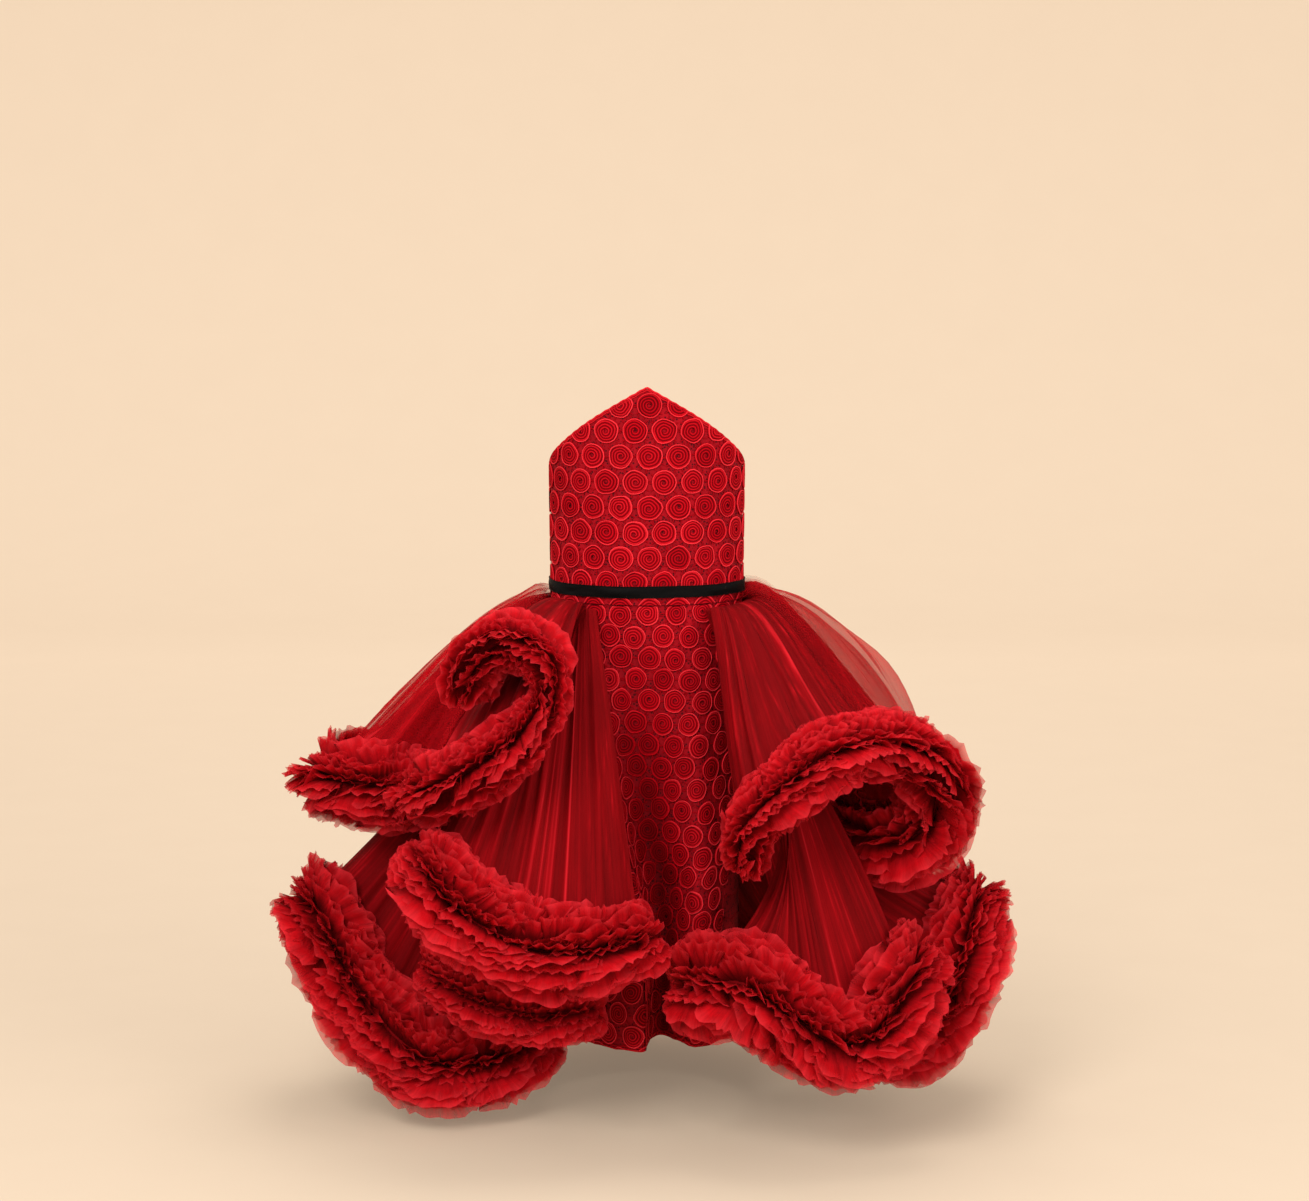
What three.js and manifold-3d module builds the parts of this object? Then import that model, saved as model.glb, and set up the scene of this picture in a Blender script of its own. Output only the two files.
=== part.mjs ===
// A child's strapless party gown, held open in its worn shape with nobody in it.
// Corded lace bodice with a pointed front neckline, narrow ribbon belt, a folded lace column skirt,
// and tulle flounces open at the front, each edged with a thick gathered tulle ruffle.
// Millimetres. The origin is the middle of the waist seam, -Y is the front and +Z is up.
import * as THREE from "three";
import { mergeVertices } from "three/addons/utils/BufferGeometryUtils.js";
import Module from "manifold-3d";

const wasm = await Module();
wasm.setup();

// Clearances and cloth thicknesses
const SEAM_GAP = 0.3;
const LACE_WALL = 2;
const TULLE_WALL = 1.6;
const DISC_RELIEF = 1.2;

// Waist, chest and hips of a child of about four to five, as half widths across and front to back
const WAIST = { across: 100, deep: 75 };
const CHEST = { across: 101, deep: 79, height: 150 };
const HEM = { across: 97, deep: 98, height: -463 };

// Neckline heights
const PEAK_HEIGHT = 224;
const UNDERARM_HEIGHT = 140;
const BACK_HEIGHT = 124;

// Lace: corded discs in staggered rows
const LACE = { pitch: 29.6, rowHeight: 26.2, discRadius: 12.4, ringSides: 6 };
const BODICE_COLUMNS = 19;
const BODICE_ROWS = 9;
const SKIRT_FRONT_COLUMNS = 8;
const SKIRT_FRONT_ROWS = 17;

// Ribbon belt and the pull of the zip in the centre back seam
const BELT = { low: 8, high: 20, wall: 1.3, stand: 1.9, sides: 48, backGap: 1 };
const ZIP = { gap: 0.8, sliderWidth: 6.4, sliderHeight: 9, sliderDepth: 2.4, earWidth: 1 };
const PULL = { width: 5.5, topHalf: 1.85, length: 22, thick: 1.2, pivotHeight: 112, stand: 1.1 };

// Ruffles and flounces
const WAVE = 35;
const SWING = THREE.MathUtils.degToRad(38);
const SPINE_HALF = 1.2;
const SEAT_GAP = 0.6;
const TIP_HALF = 4.5;
const GATHER = 5;
const SHEET_ROWS = 5;
const LAYER = {
  inner: { front: 2.6, back: 2.6, top: -5 },
  middle: { front: 4.8, back: 4.8, top: -5 },
  outer: { front: 7.3, back: 4.4, top: -5 },
  top: { front: 4.6, back: 4.6, top: 7 },
};
const MIDDLE_ENDS = THREE.MathUtils.degToRad(74);

const RED = 0xb3101d;
const cloth = (color, roughness) =>
  new THREE.MeshStandardMaterial({ color, roughness, metalness: 0, side: THREE.DoubleSide });
const LACE_MATERIAL = cloth(RED, 0.75);
const TULLE_MATERIAL = cloth(0xa30c18, 0.85);
const RUFFLE_MATERIAL = cloth(0xc21522, 0.85);
const RIBBON_MATERIAL = cloth(0x141416, 0.45);
const ZIP_MATERIAL = cloth(0x9c0d18, 0.4);

// Each hem is a table of knots: x, y, z and the ruffle's radius there.
// panels and strips are the sewn lengths, each ending at the knot whose number stands beside its name.
const FLOUNCES = [
  {
    layer: "top",
    waist: { from: -38, to: -64 },
    flare: 1,
    belly: [[0, -8, 32], [0, -6, 42], [0, -4, 50]],
    hem: [
      [-95, -183, -56, 28],
      [-95, -181, -44, 28],
      [-112, -174, -27, 27],
      [-140, -170, -19, 29],
      [-168, -165, -38, 28],
      [-179, -160, -67, 29],
    ],
    panels: [["tulle_upper_left_fold", 5]],
    strips: [["ruffle_upper_left_arch", 5]],
  },
  {
    layer: "outer",
    waist: { from: -36, to: -179.6 },
    flare: 1,
    belly: [[0, -8, 10], [0, 0, 44], [0, 10, 34]],
    hem: [
      [-95, -184.5, -62, 27],
      [-97, -189, -77, 25],
      [-118, -197, -107, 33],
      [-163, -203, -141, 39],
      [-204, -190, -166, 38],
      [-224, -150, -174, 37],
      [-222, -108, -186, 38],
      [-252, -76, -188, 46],
      [-298, -74, -184, 45],
      [-330, -42, -184, 43],
      [-330, 10, -188, 48],
      [-292, 44, -190, 46],
      [-246, 62, -196, 46],
      [-216, 106, -218, 46],
      [-200, 152, -206, 46],
      [-164, 190, -204, 44],
      [-120, 212, -220, 44],
      [-80, 226, -228, 46],
      [-42, 230, -232, 46],
      [-3, 230, -232, 46],
    ],
    panels: [["tulle_upper_left_front", 10], ["tulle_upper_left_back", 19]],
    strips: [
      ["ruffle_upper_left_front", 6],
      ["ruffle_upper_left_side", 11],
      ["ruffle_upper_left_back", 19],
    ],
  },
  {
    layer: "outer",
    waist: { from: 38, to: 179.6 },
    flare: 1,
    belly: [[0, -8, 12], [0, 0, 44], [0, 10, 34]],
    hem: [
      [97, -212, -231, 31],
      [102, -222, -197, 34],
      [136, -226, -159, 38],
      [176, -212, -131, 43],
      [222, -184, -124, 39],
      [268, -148, -138, 43],
      [295, -125, -177, 46],
      [286, -106, -221, 43],
      [258, -106, -238, 34],
      [227, -86, -232, 30],
      [209, -46, -212, 28],
      [218, -8, -190, 28],
      [258, 10, -184, 38],
      [293, 46, -188, 46],
      [274, 92, -196, 46],
      [232, 126, -212, 46],
      [200, 160, -206, 44],
      [158, 192, -204, 43],
      [116, 212, -220, 44],
      [76, 226, -228, 46],
      [42, 230, -232, 46],
      [3, 230, -232, 46],
    ],
    panels: [["tulle_upper_right_front", 11], ["tulle_upper_right_back", 21]],
    strips: [
      ["ruffle_upper_right_front", 4.5],
      ["ruffle_upper_right_side", 9.5],
      ["ruffle_upper_right_turn", 14],
      ["ruffle_upper_right_back", 21],
    ],
  },
  {
    layer: "middle",
    waist: { from: -30, to: -60 },
    flare: 1,
    belly: [[0, -6, 4], [0, -6, 5], [0, -6, 6]],
    hem: [
      [-7, -180, -323, 43],
      [-46, -200, -328, 48],
      [-96, -208, -328, 50],
      [-146, -212, -311, 51],
      [-190, -212, -281, 50],
      [-212, -202, -252, 47],
    ],
    panels: [["tulle_middle_left", 5]],
    strips: [["ruffle_middle_left", 5]],
  },
  {
    layer: "middle",
    waist: { from: 36, to: 72 },
    flare: 1,
    belly: [[10, -4, -6], [10, -6, -12], [0, -10, -24]],
    hem: [
      [54, -190, -368, 43],
      [98, -218, -359, 46],
      [143, -228, -387, 48],
      [190, -218, -418, 48],
      [234, -200, -410, 42],
      [256, -188, -374, 38],
      [264, -160, -360, 34],
    ],
    panels: [["tulle_middle_right", 6]],
    strips: [["ruffle_middle_right", 3], ["ruffle_middle_right_lobe", 6]],
  },
  {
    layer: "inner",
    waist: { from: -33, to: -58 },
    flare: 1,
    belly: [[-4, -6, 0], [-4, -6, 0], [-4, -6, 0]],
    hem: [
      [-60, -140, -406, 30],
      [-114, -155, -408, 32],
      [-164, -160, -394, 32],
      [-202, -150, -374, 28],
      [-220, -118, -368, 26],
    ],
    panels: [["tulle_lower_left_front", 4]],
    strips: [["ruffle_lower_left_front", 4]],
  },
  {
    layer: "inner",
    waist: { from: -62, to: -179.6 },
    flare: 2,
    belly: [[-8, -12, 0], [-6, 0, 0], [0, 8, 0]],
    hem: [
      [-118, -58, -462, 43],
      [-172, -80, -479, 48],
      [-228, -90, -474, 51],
      [-276, -85, -434, 52],
      [-312, -75, -381, 51],
      [-338, -58, -332, 50],
      [-352, -14, -322, 48],
      [-340, 38, -345, 46],
      [-300, 72, -365, 46],
      [-258, 104, -392, 46],
      [-225, 145, -420, 48],
      [-180, 185, -440, 49],
      [-130, 218, -428, 48],
      [-84, 232, -450, 48],
      [-42, 238, -458, 48],
      [-3, 238, -458, 48],
    ],
    panels: [["tulle_lower_left_side", 7], ["tulle_lower_left_back", 15]],
    strips: [
      ["ruffle_lower_left_side", 4],
      ["ruffle_lower_left_turn", 9],
      ["ruffle_lower_left_back", 15],
    ],
  },
  {
    layer: "inner",
    waist: { from: 64, to: 179.6 },
    flare: 3,
    belly: [[8, -12, 0], [6, 0, 0], [0, 8, 0]],
    hem: [
      [222, -70, -470, 38],
      [269, -85, -454, 46],
      [309, -78, -415, 48],
      [329, -68, -369, 48],
      [340, -45, -328, 41],
      [344, 0, -322, 41],
      [332, 44, -345, 46],
      [296, 76, -365, 46],
      [256, 106, -392, 46],
      [224, 147, -420, 48],
      [180, 185, -440, 49],
      [130, 218, -428, 48],
      [84, 232, -450, 48],
      [42, 238, -458, 48],
      [3, 238, -458, 48],
    ],
    panels: [["tulle_lower_right_side", 5], ["tulle_lower_right_back", 14]],
    strips: [
      ["ruffle_lower_right_side", 4],
      ["ruffle_lower_right_turn", 8],
      ["ruffle_lower_right_back", 14],
    ],
  },
];

const gown = new THREE.Group();

function addPiece(name, geometry, material) {
  const piece = new THREE.Mesh(geometry, material);
  piece.name = name;
  gown.add(piece);
}

const mix = THREE.MathUtils.lerp;
const clamp = THREE.MathUtils.clamp;
const ease = THREE.MathUtils.smoothstep;

// A closed body from triangles of points, turned to face out.
function body(triangles) {
  const positions = triangles.flat().flatMap((p) => p.toArray());
  const geometry = new THREE.BufferGeometry();
  geometry.setAttribute("position", new THREE.Float32BufferAttribute(positions, 3));
  const merged = mergeVertices(geometry, 1e-3);
  if (volumeOf(merged) < 0) {
    merged.setIndex([...merged.index.array].reverse());
  }
  return merged;
}

function volumeOf(geometry) {
  const [a, b, c] = [new THREE.Vector3(), new THREE.Vector3(), new THREE.Vector3()];
  const { position } = geometry.attributes;
  const index = geometry.index.array;
  let sum = 0;
  for (let i = 0; i < index.length; i += 3) {
    a.fromBufferAttribute(position, index[i]);
    b.fromBufferAttribute(position, index[i + 1]);
    c.fromBufferAttribute(position, index[i + 2]);
    sum += a.dot(b.cross(c)) / 6;
  }
  return sum;
}

function quad(a, b, c, d) {
  return [[a, b, c], [a, c, d]];
}

// A wall between two grids of the same size, with rims on its four edges.
function wallTriangles(outer, inner) {
  const rows = outer.length - 1;
  const columns = outer[0].length - 1;
  const triangles = [];
  for (let i = 0; i < rows; i++) {
    for (let j = 0; j < columns; j++) {
      triangles.push(...quad(outer[i][j], outer[i][j + 1], outer[i + 1][j + 1], outer[i + 1][j]));
      triangles.push(...quad(inner[i][j], inner[i + 1][j], inner[i + 1][j + 1], inner[i][j + 1]));
    }
  }
  return [...triangles, ...rimTriangles(outer, inner)];
}

function rimTriangles(outer, inner) {
  const rows = outer.length - 1;
  const columns = outer[0].length - 1;
  const triangles = [];
  for (let j = 0; j < columns; j++) {
    triangles.push(...quad(outer[0][j + 1], outer[0][j], inner[0][j], inner[0][j + 1]));
    triangles.push(
      ...quad(outer[rows][j], outer[rows][j + 1], inner[rows][j + 1], inner[rows][j]),
    );
  }
  for (let i = 0; i < rows; i++) {
    triangles.push(...quad(outer[i][0], outer[i + 1][0], inner[i + 1][0], inner[i][0]));
    triangles.push(
      ...quad(outer[i + 1][columns], outer[i][columns], inner[i][columns], inner[i + 1][columns]),
    );
  }
  return triangles;
}

// Lace: discs raised in the wall's outer points, over a plain inside.
// place(column, row, lift) gives the point on the cloth's face, lifted along its normal.
function laceTriangles(columns, rows, place) {
  const outer = [];
  const inner = [];
  for (let row = 0; row <= rows; row++) {
    const halves = Array.from({ length: 2 * columns + 1 }, (_, k) => k / 2 - columns / 2);
    outer.push(halves.map((column) => place(column, row, 0)));
    inner.push(halves.map((column) => place(column, row, -LACE_WALL)));
  }
  const triangles = [...rimTriangles(outer, inner)];
  for (let row = 0; row < rows; row++) {
    for (let k = 0; k < 2 * columns; k++) {
      triangles.push(
        ...quad(inner[row][k], inner[row + 1][k], inner[row + 1][k + 1], inner[row][k + 1]),
      );
    }
    const shift = row % 2;
    for (let k = shift; k + 2 <= 2 * columns; k += 2) {
      triangles.push(...discCell(k / 2 - columns / 2, row, place));
    }
    for (const k of shift ? [0, 2 * columns - 1] : []) {
      triangles.push(
        ...quad(outer[row][k], outer[row][k + 1], outer[row + 1][k + 1], outer[row + 1][k]),
      );
    }
  }
  return triangles;
}

// One disc and the flat ground round it, a column wide and a row high.
function discCell(column, row, place) {
  const ground = [[0, 0], [0.5, 0], [1, 0], [1, 1], [0.5, 1], [0, 1]];
  const ring = [];
  for (let k = 0; k < LACE.ringSides; k++) {
    const angle = (2 * Math.PI * (k + 0.5)) / LACE.ringSides;
    ring.push([
      0.5 + (LACE.discRadius / LACE.pitch) * Math.cos(angle),
      0.5 + (LACE.discRadius / LACE.rowHeight) * Math.sin(angle),
    ]);
  }
  const flat = (list) =>
    list.map(([x, y]) => new THREE.Vector2(x * LACE.pitch, y * LACE.rowHeight));
  const at = (list, lift) => list.map(([x, y]) => place(column + x, row + y, lift));
  const points = [...at(ground, 0), ...at(ring, DISC_RELIEF)];
  const skirt = THREE.ShapeUtils.triangulateShape(flat(ground), [flat(ring)]);
  const raised = points.slice(ground.length);
  const middle = place(column + 0.5, row + 0.5, DISC_RELIEF);
  return [
    ...skirt.map((face) => face.map((i) => points[i])),
    ...raised.map((point, k) => [point, raised[(k + 1) % raised.length], middle]),
  ];
}

const toSolid = (geometry) => {
  const merged = mergeVertices(geometry, 1e-3);
  return new wasm.Manifold(
    new wasm.Mesh({
      numProp: 3,
      vertProperties: merged.attributes.position.array,
      triVerts: new Uint32Array(merged.index.array),
    }),
  );
};

const fromSolid = (solid) => {
  const mesh = solid.getMesh();
  const geometry = new THREE.BufferGeometry();
  geometry.setAttribute("position", new THREE.BufferAttribute(mesh.vertProperties, 3));
  geometry.setIndex(new THREE.BufferAttribute(mesh.triVerts, 1));
  return geometry;
};

function positionsOnly(geometry) {
  geometry.deleteAttribute("normal");
  geometry.deleteAttribute("uv");
  return geometry;
}

// The bodice's half widths at a height
function bodiceSize(height) {
  const up = ease(height, 0, CHEST.height);
  return {
    across: mix(WAIST.across, CHEST.across, up),
    deep: mix(WAIST.deep, CHEST.deep, up),
  };
}

// A point at an angle round an ellipse, moved out along its normal. Angle 0 is the front.
function onEllipse(size, angle, height, lift) {
  const normal = new THREE.Vector2(Math.sin(angle) / size.across, -Math.cos(angle) / size.deep);
  normal.normalize();
  return new THREE.Vector3(
    size.across * Math.sin(angle) + lift * normal.x,
    -size.deep * Math.cos(angle) + lift * normal.y,
    height,
  );
}

// Angles that share out an ellipse's length evenly, from -half to +half of its way round
function evenAngles(size, samples = 720) {
  const lengths = [0];
  for (let i = 1; i <= samples; i++) {
    const angle = ((i - 0.5) * Math.PI) / samples;
    const step = Math.hypot(size.across * Math.cos(angle), size.deep * Math.sin(angle));
    lengths.push(lengths[i - 1] + (step * Math.PI) / samples);
  }
  return (share) => {
    const wanted = Math.abs(share) * lengths[samples];
    const i = clamp(lengths.findIndex((length) => length >= wanted), 1, samples);
    const part = (wanted - lengths[i - 1]) / (lengths[i] - lengths[i - 1]);
    return (Math.sign(share) * (i - 1 + part) * Math.PI) / samples;
  };
}

// A straight cutter: an outline in X and Z, drawn out from one depth to another
function cutter(outline, nearY, farY) {
  const shape = new THREE.Shape(outline.map(([x, z]) => new THREE.Vector2(x, z)));
  const geometry = new THREE.ExtrudeGeometry(shape, { depth: farY - nearY, bevelEnabled: false });
  geometry.rotateX(Math.PI / 2);
  geometry.translate(0, farY, 0);
  return toSolid(positionsOnly(geometry));
}

function necklineHeight(x) {
  const out = Math.abs(x) / CHEST.across;
  const drop = PEAK_HEIGHT - UNDERARM_HEIGHT;
  return PEAK_HEIGHT - drop * (0.57 * out + 0.43 * out * out);
}

function buildBodice() {
  const angleAt = evenAngles(CHEST);
  const zipShare = ZIP.gap / 2 / (Math.PI * CHEST.across);
  const place = (column, row, lift) => {
    const height = row * LACE.rowHeight;
    const share = clamp((2 * column) / BODICE_COLUMNS, -1 + zipShare, 1 - zipShare);
    return onEllipse(bodiceSize(height), angleAt(share), height, lift);
  };
  const whole = toSolid(body(laceTriangles(BODICE_COLUMNS, BODICE_ROWS, place)));
  const far = 140;
  const top = 300;
  const steps = 12;
  const neckline = [];
  for (let i = -steps; i <= steps; i++) {
    const x = (CHEST.across * i) / steps;
    neckline.push([x, necklineHeight(x)]);
  }
  const frontTop = cutter(
    [[-far, top], [-far, UNDERARM_HEIGHT], ...neckline, [far, UNDERARM_HEIGHT], [far, top]],
    -far,
    0,
  );
  const backTop = cutter(
    [[-far, top], [-far, UNDERARM_HEIGHT], [0, BACK_HEIGHT], [far, UNDERARM_HEIGHT], [far, top]],
    0,
    far,
  );
  const half = (low, high, nearY, farY) =>
    cutter([[low, -far], [high, -far], [high, top], [low, top]], nearY, farY);
  const trimmed = whole.subtract(frontTop).subtract(backTop);
  const seam = SEAM_GAP / 2;
  const front = trimmed.intersect(half(-far, far, -far, -seam));
  const left = trimmed.intersect(half(-far, 0, seam, far));
  const right = trimmed.intersect(half(0, far, seam, far));
  addPiece("bodice_front", fromSolid(front), LACE_MATERIAL);
  addPiece("bodice_back_left", fromSolid(left), LACE_MATERIAL);
  addPiece("bodice_back_right", fromSolid(right), LACE_MATERIAL);
}

function buildBelt() {
  const size = { across: WAIST.across + DISC_RELIEF, deep: WAIST.deep + DISC_RELIEF };
  const gapAngle = BELT.backGap / 2 / WAIST.across;
  const outer = [];
  const inner = [];
  for (const height of [BELT.low, BELT.high]) {
    const ring = (lift) =>
      Array.from({ length: BELT.sides + 1 }, (_, k) => {
        const angle = mix(-Math.PI + gapAngle, Math.PI - gapAngle, k / BELT.sides);
        return onEllipse(size, angle, height, lift);
      });
    inner.push(ring(BELT.stand - DISC_RELIEF));
    outer.push(ring(BELT.stand - DISC_RELIEF + BELT.wall));
  }
  addPiece("belt", body(wallTriangles(outer, inner)), RIBBON_MATERIAL);
}

// The zip's slider stands on the centre back seam. Its pull hangs between two ears.
function buildZip() {
  const nearY = bodiceSize(PULL.pivotHeight).deep + DISC_RELIEF + SEAM_GAP;
  const faceY = nearY + ZIP.sliderDepth;
  const half = ZIP.sliderWidth / 2;
  const low = PULL.pivotHeight - 3;
  const high = PULL.pivotHeight + ZIP.sliderHeight - 3;
  const plate = cutter(
    [[-half, low], [half, low], [half, high - 2], [half / 2, high], [-half / 2, high], [-half, high - 2]],
    nearY,
    faceY,
  );
  const pivotY = faceY + PULL.stand;
  const ear = (side) => {
    const outer = side * half;
    const inner = side * (half - ZIP.earWidth);
    const [left, right] = [Math.min(outer, inner), Math.max(outer, inner)];
    const [bottom, top] = [PULL.pivotHeight - 1.2, PULL.pivotHeight + 1.2];
    const outline = [[left, bottom], [right, bottom], [right, top], [left, top]];
    return cutter(outline, faceY - 0.5, pivotY + 0.9);
  };
  addPiece("zip_slider", fromSolid(plate.add(ear(-1)).add(ear(1))), ZIP_MATERIAL);

  const tip = -PULL.length + PULL.width / 2;
  const outline = new THREE.Shape();
  outline.moveTo(-PULL.topHalf, 0.6);
  outline.lineTo(PULL.topHalf, 0.6);
  outline.lineTo(PULL.topHalf, -2.5);
  outline.lineTo(PULL.width / 2, tip);
  outline.absarc(0, tip, PULL.width / 2, 0, -Math.PI, true);
  outline.lineTo(-PULL.topHalf, -2.5);
  outline.closePath();
  const eye = new THREE.Path();
  eye.absarc(0, tip, PULL.width * 0.28, 0, 2 * Math.PI, false);
  outline.holes.push(eye);
  const pull = new THREE.ExtrudeGeometry(outline, {
    depth: PULL.thick,
    bevelEnabled: false,
    curveSegments: 10,
  });
  pull.rotateX(Math.PI / 2);
  pull.translate(0, pivotY + PULL.thick / 2, PULL.pivotHeight);
  addPiece("zip_pull", positionsOnly(pull), ZIP_MATERIAL);
}

// The lace skirt's front: an ellipse with one deep fold between two ridges.
// Each fold row: height, the left ridge's x, the right ridge's x and the depth between them.
const FRONT_FOLD = [
  { height: 0, left: -52, right: 58, depth: 0 },
  { height: -60, left: -47, right: 54, depth: 4 },
  { height: -150, left: -38, right: 50, depth: 13 },
  { height: -245, left: -22, right: 52, depth: 22 },
  { height: -300, left: -8, right: 52, depth: 26 },
  { height: -400, left: -2, right: 52, depth: 28 },
  { height: -470, left: -2, right: 50, depth: 28 },
];
const RIDGE_RISE = 6;
const SIDE_FOLD = { at: 74, half: 20, depth: 9 };

function foldAt(height) {
  const next = clamp(FRONT_FOLD.findIndex((row) => row.height <= height), 1, FRONT_FOLD.length - 1);
  const [a, b] = [FRONT_FOLD[next - 1], FRONT_FOLD[next]];
  const part = clamp((height - a.height) / (b.height - a.height), 0, 1);
  return {
    left: mix(a.left, b.left, part),
    right: mix(a.right, b.right, part),
    depth: mix(a.depth, b.depth, part),
  };
}

function skirtSize(height) {
  const down = clamp(height / HEM.height, 0, 1);
  return {
    across: mix(WAIST.across, HEM.across, down),
    deep: mix(WAIST.deep, HEM.deep, ease(down, 0, 1)),
  };
}

// How far the folds move a front point in (positive) or out (negative)
function foldDepth(x, height) {
  const fold = foldAt(height);
  const across = (x - fold.left) / (fold.right - fold.left);
  const bell = (middle, half) => Math.exp(-(((x - middle) / half) ** 2));
  let depth = 0;
  if (across > 0 && across < 1) {
    depth += fold.depth * Math.sin(Math.PI * across ** 0.85) ** 1.5;
  }
  const growth = fold.depth / 28;
  depth -= RIDGE_RISE * growth * (bell(fold.left - 9, 13) + bell(fold.right + 9, 13));
  depth += SIDE_FOLD.depth * growth * bell(-SIDE_FOLD.at * 0.78, SIDE_FOLD.half * 0.7);
  return depth;
}

// One level of the lace skirt as points at equal steps of cloth from the front middle.
function skirtLevel(height) {
  const size = skirtSize(height);
  const samples = 720;
  const points = [];
  for (let i = -samples; i <= samples; i++) {
    const angle = (i * Math.PI) / samples;
    const point = new THREE.Vector2(size.across * Math.sin(angle), -size.deep * Math.cos(angle));
    if (Math.abs(angle) < Math.PI / 2) {
      point.y += foldDepth(point.x, height) * ease(Math.cos(angle), 0, 0.35);
    }
    points.push(point);
  }
  const lengths = [0];
  for (let i = 1; i < points.length; i++) {
    lengths.push(lengths[i - 1] + points[i].distanceTo(points[i - 1]));
  }
  const middle = lengths[samples];
  const at = (length) => {
    const wanted = clamp(length + middle, 0, lengths.at(-1));
    const i = clamp(lengths.findIndex((value) => value >= wanted), 1, points.length - 1);
    const part = (wanted - lengths[i - 1]) / (lengths[i] - lengths[i - 1]);
    return points[i - 1].clone().lerp(points[i], part);
  };
  const normalSpan = 5;
  return {
    halfRound: middle,
    place(length, lift) {
      const here = at(length);
      const along = at(length + normalSpan).sub(at(length - normalSpan)).normalize();
      return new THREE.Vector3(here.x + along.y * lift, here.y - along.x * lift, height);
    },
  };
}

const skirtLevels = new Map();
function skirtPoint(length, height, lift) {
  const key = height.toFixed(3);
  if (!skirtLevels.has(key)) {
    skirtLevels.set(key, skirtLevel(height));
  }
  return skirtLevels.get(key).place(length, lift);
}

function buildLaceSkirt() {
  const top = -SEAM_GAP;
  const rowHeight = (HEM.height - top) / SKIRT_FRONT_ROWS;
  const frontHalf = (SKIRT_FRONT_COLUMNS / 2) * LACE.pitch;
  const front = laceTriangles(SKIRT_FRONT_COLUMNS, SKIRT_FRONT_ROWS, (column, row, lift) =>
    skirtPoint(column * LACE.pitch, top + row * rowHeight, lift),
  );
  addPiece("skirt_front", body(front), LACE_MATERIAL);

  const backColumns = 5;
  for (const [name, side] of [["skirt_back_left", -1], ["skirt_back_right", 1]]) {
    const outer = [];
    const inner = [];
    for (let row = 0; row <= SKIRT_FRONT_ROWS; row++) {
      const height = top + row * rowHeight;
      skirtPoint(0, height, 0);
      const { halfRound } = skirtLevels.get(height.toFixed(3));
      const level = (lift) =>
        Array.from({ length: backColumns + 1 }, (_, k) => {
          const start = frontHalf + SEAM_GAP;
          const length = mix(start, halfRound - ZIP.gap / 2, k / backColumns);
          return skirtPoint(side * length, height, lift);
        });
      outer.push(level(0));
      inner.push(level(-LACE_WALL));
    }
    addPiece(name, body(wallTriangles(outer, inner)), LACE_MATERIAL);
  }
}

// The shape along a flounce's fall: full just below the waist, then straight
const bellyAt = (share) => 9.48 * share * (1 - share) ** 3;

// The columns of a flounce: its waist point, its hem point and the ruffle's radius there
function flounceColumns(flounce) {
  const knots = flounce.hem.map(([x, y, z]) => new THREE.Vector3(x, y, z));
  const curve = new THREE.CatmullRomCurve3(knots, false, "centripetal");
  curve.arcLengthDivisions = 600;
  const count = Math.round(curve.getLength() / WAVE);
  const layer = LAYER[flounce.layer];
  const columns = [];
  for (let k = 0; k <= count; k++) {
    const share = k / count;
    const knot = curve.getUtoTmapping(share) * (knots.length - 1);
    const low = Math.min(Math.floor(knot), knots.length - 2);
    const angle = THREE.MathUtils.degToRad(mix(flounce.waist.from, flounce.waist.to, share));
    const back = ease(Math.abs(angle), MIDDLE_ENDS, MIDDLE_ENDS + 0.2);
    const [start, middle, end] = flounce.belly.map((vector) => new THREE.Vector3(...vector));
    const belly = share < 0.5 ? start.lerp(middle, 2 * share) : middle.lerp(end, 2 * share - 1);
    columns.push({
      knot,
      radius: mix(flounce.hem[low][3], flounce.hem[low + 1][3], knot - low),
      waist: onEllipse(WAIST, angle, layer.top, mix(layer.front, layer.back, back)),
      hem: curve.getPointAt(share),
      along: curve.getTangentAt(share),
      belly,
    });
  }
  return columns;
}

// The middle face of the tulle, a row of points down each column, gathered in and out in turn
function flounceFace(columns, flare) {
  const smooth = columns.map(({ waist, hem, belly }) =>
    Array.from({ length: SHEET_ROWS + 1 }, (_, i) => {
      const share = (i / SHEET_ROWS) ** 1.2;
      const out = share ** flare;
      const point = new THREE.Vector3(
        mix(waist.x, hem.x, out),
        mix(waist.y, hem.y, out),
        mix(waist.z, hem.z, share),
      );
      return point.addScaledVector(belly, bellyAt(share));
    }),
  );
  const normals = faceNormals(smooth);
  return smooth.map((column, k) =>
    column.map((point, i) => {
      const share = (i / SHEET_ROWS) ** 1.2;
      const before = smooth[k - 1]?.[i] ?? point;
      const after = smooth[k + 1]?.[i] ?? point;
      const room = 0.3 * before.distanceTo(after);
      const gather = Math.min(2 * GATHER * Math.sin(Math.PI * share) ** 1.4, room);
      return point.clone().addScaledVector(normals[k][i], k % 2 ? gather : 0);
    }),
  );
}

function faceNormals(grid) {
  const last = grid.length - 1;
  const bottom = grid[0].length - 1;
  return grid.map((column, k) =>
    column.map((_, i) => {
      const along = grid[Math.min(k + 1, last)][i].clone().sub(grid[Math.max(k - 1, 0)][i]);
      const down = grid[k][Math.min(i + 1, bottom)].clone().sub(grid[k][Math.max(i - 1, 0)]);
      return along.cross(down).normalize();
    }),
  );
}

const nearestColumn = (columns, knot) =>
  columns.reduce(
    (best, column, k) =>
      Math.abs(column.knot - knot) < Math.abs(columns[best].knot - knot) ? k : best,
    0,
  );

// Cuts a row of columns into its named lengths, as pairs of first and last column
function lengthsOf(columns, named) {
  let first = 0;
  return named.map(([name, knot]) => {
    const length = { name, first, last: nearestColumn(columns, knot) };
    first = length.last;
    return length;
  });
}

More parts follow.
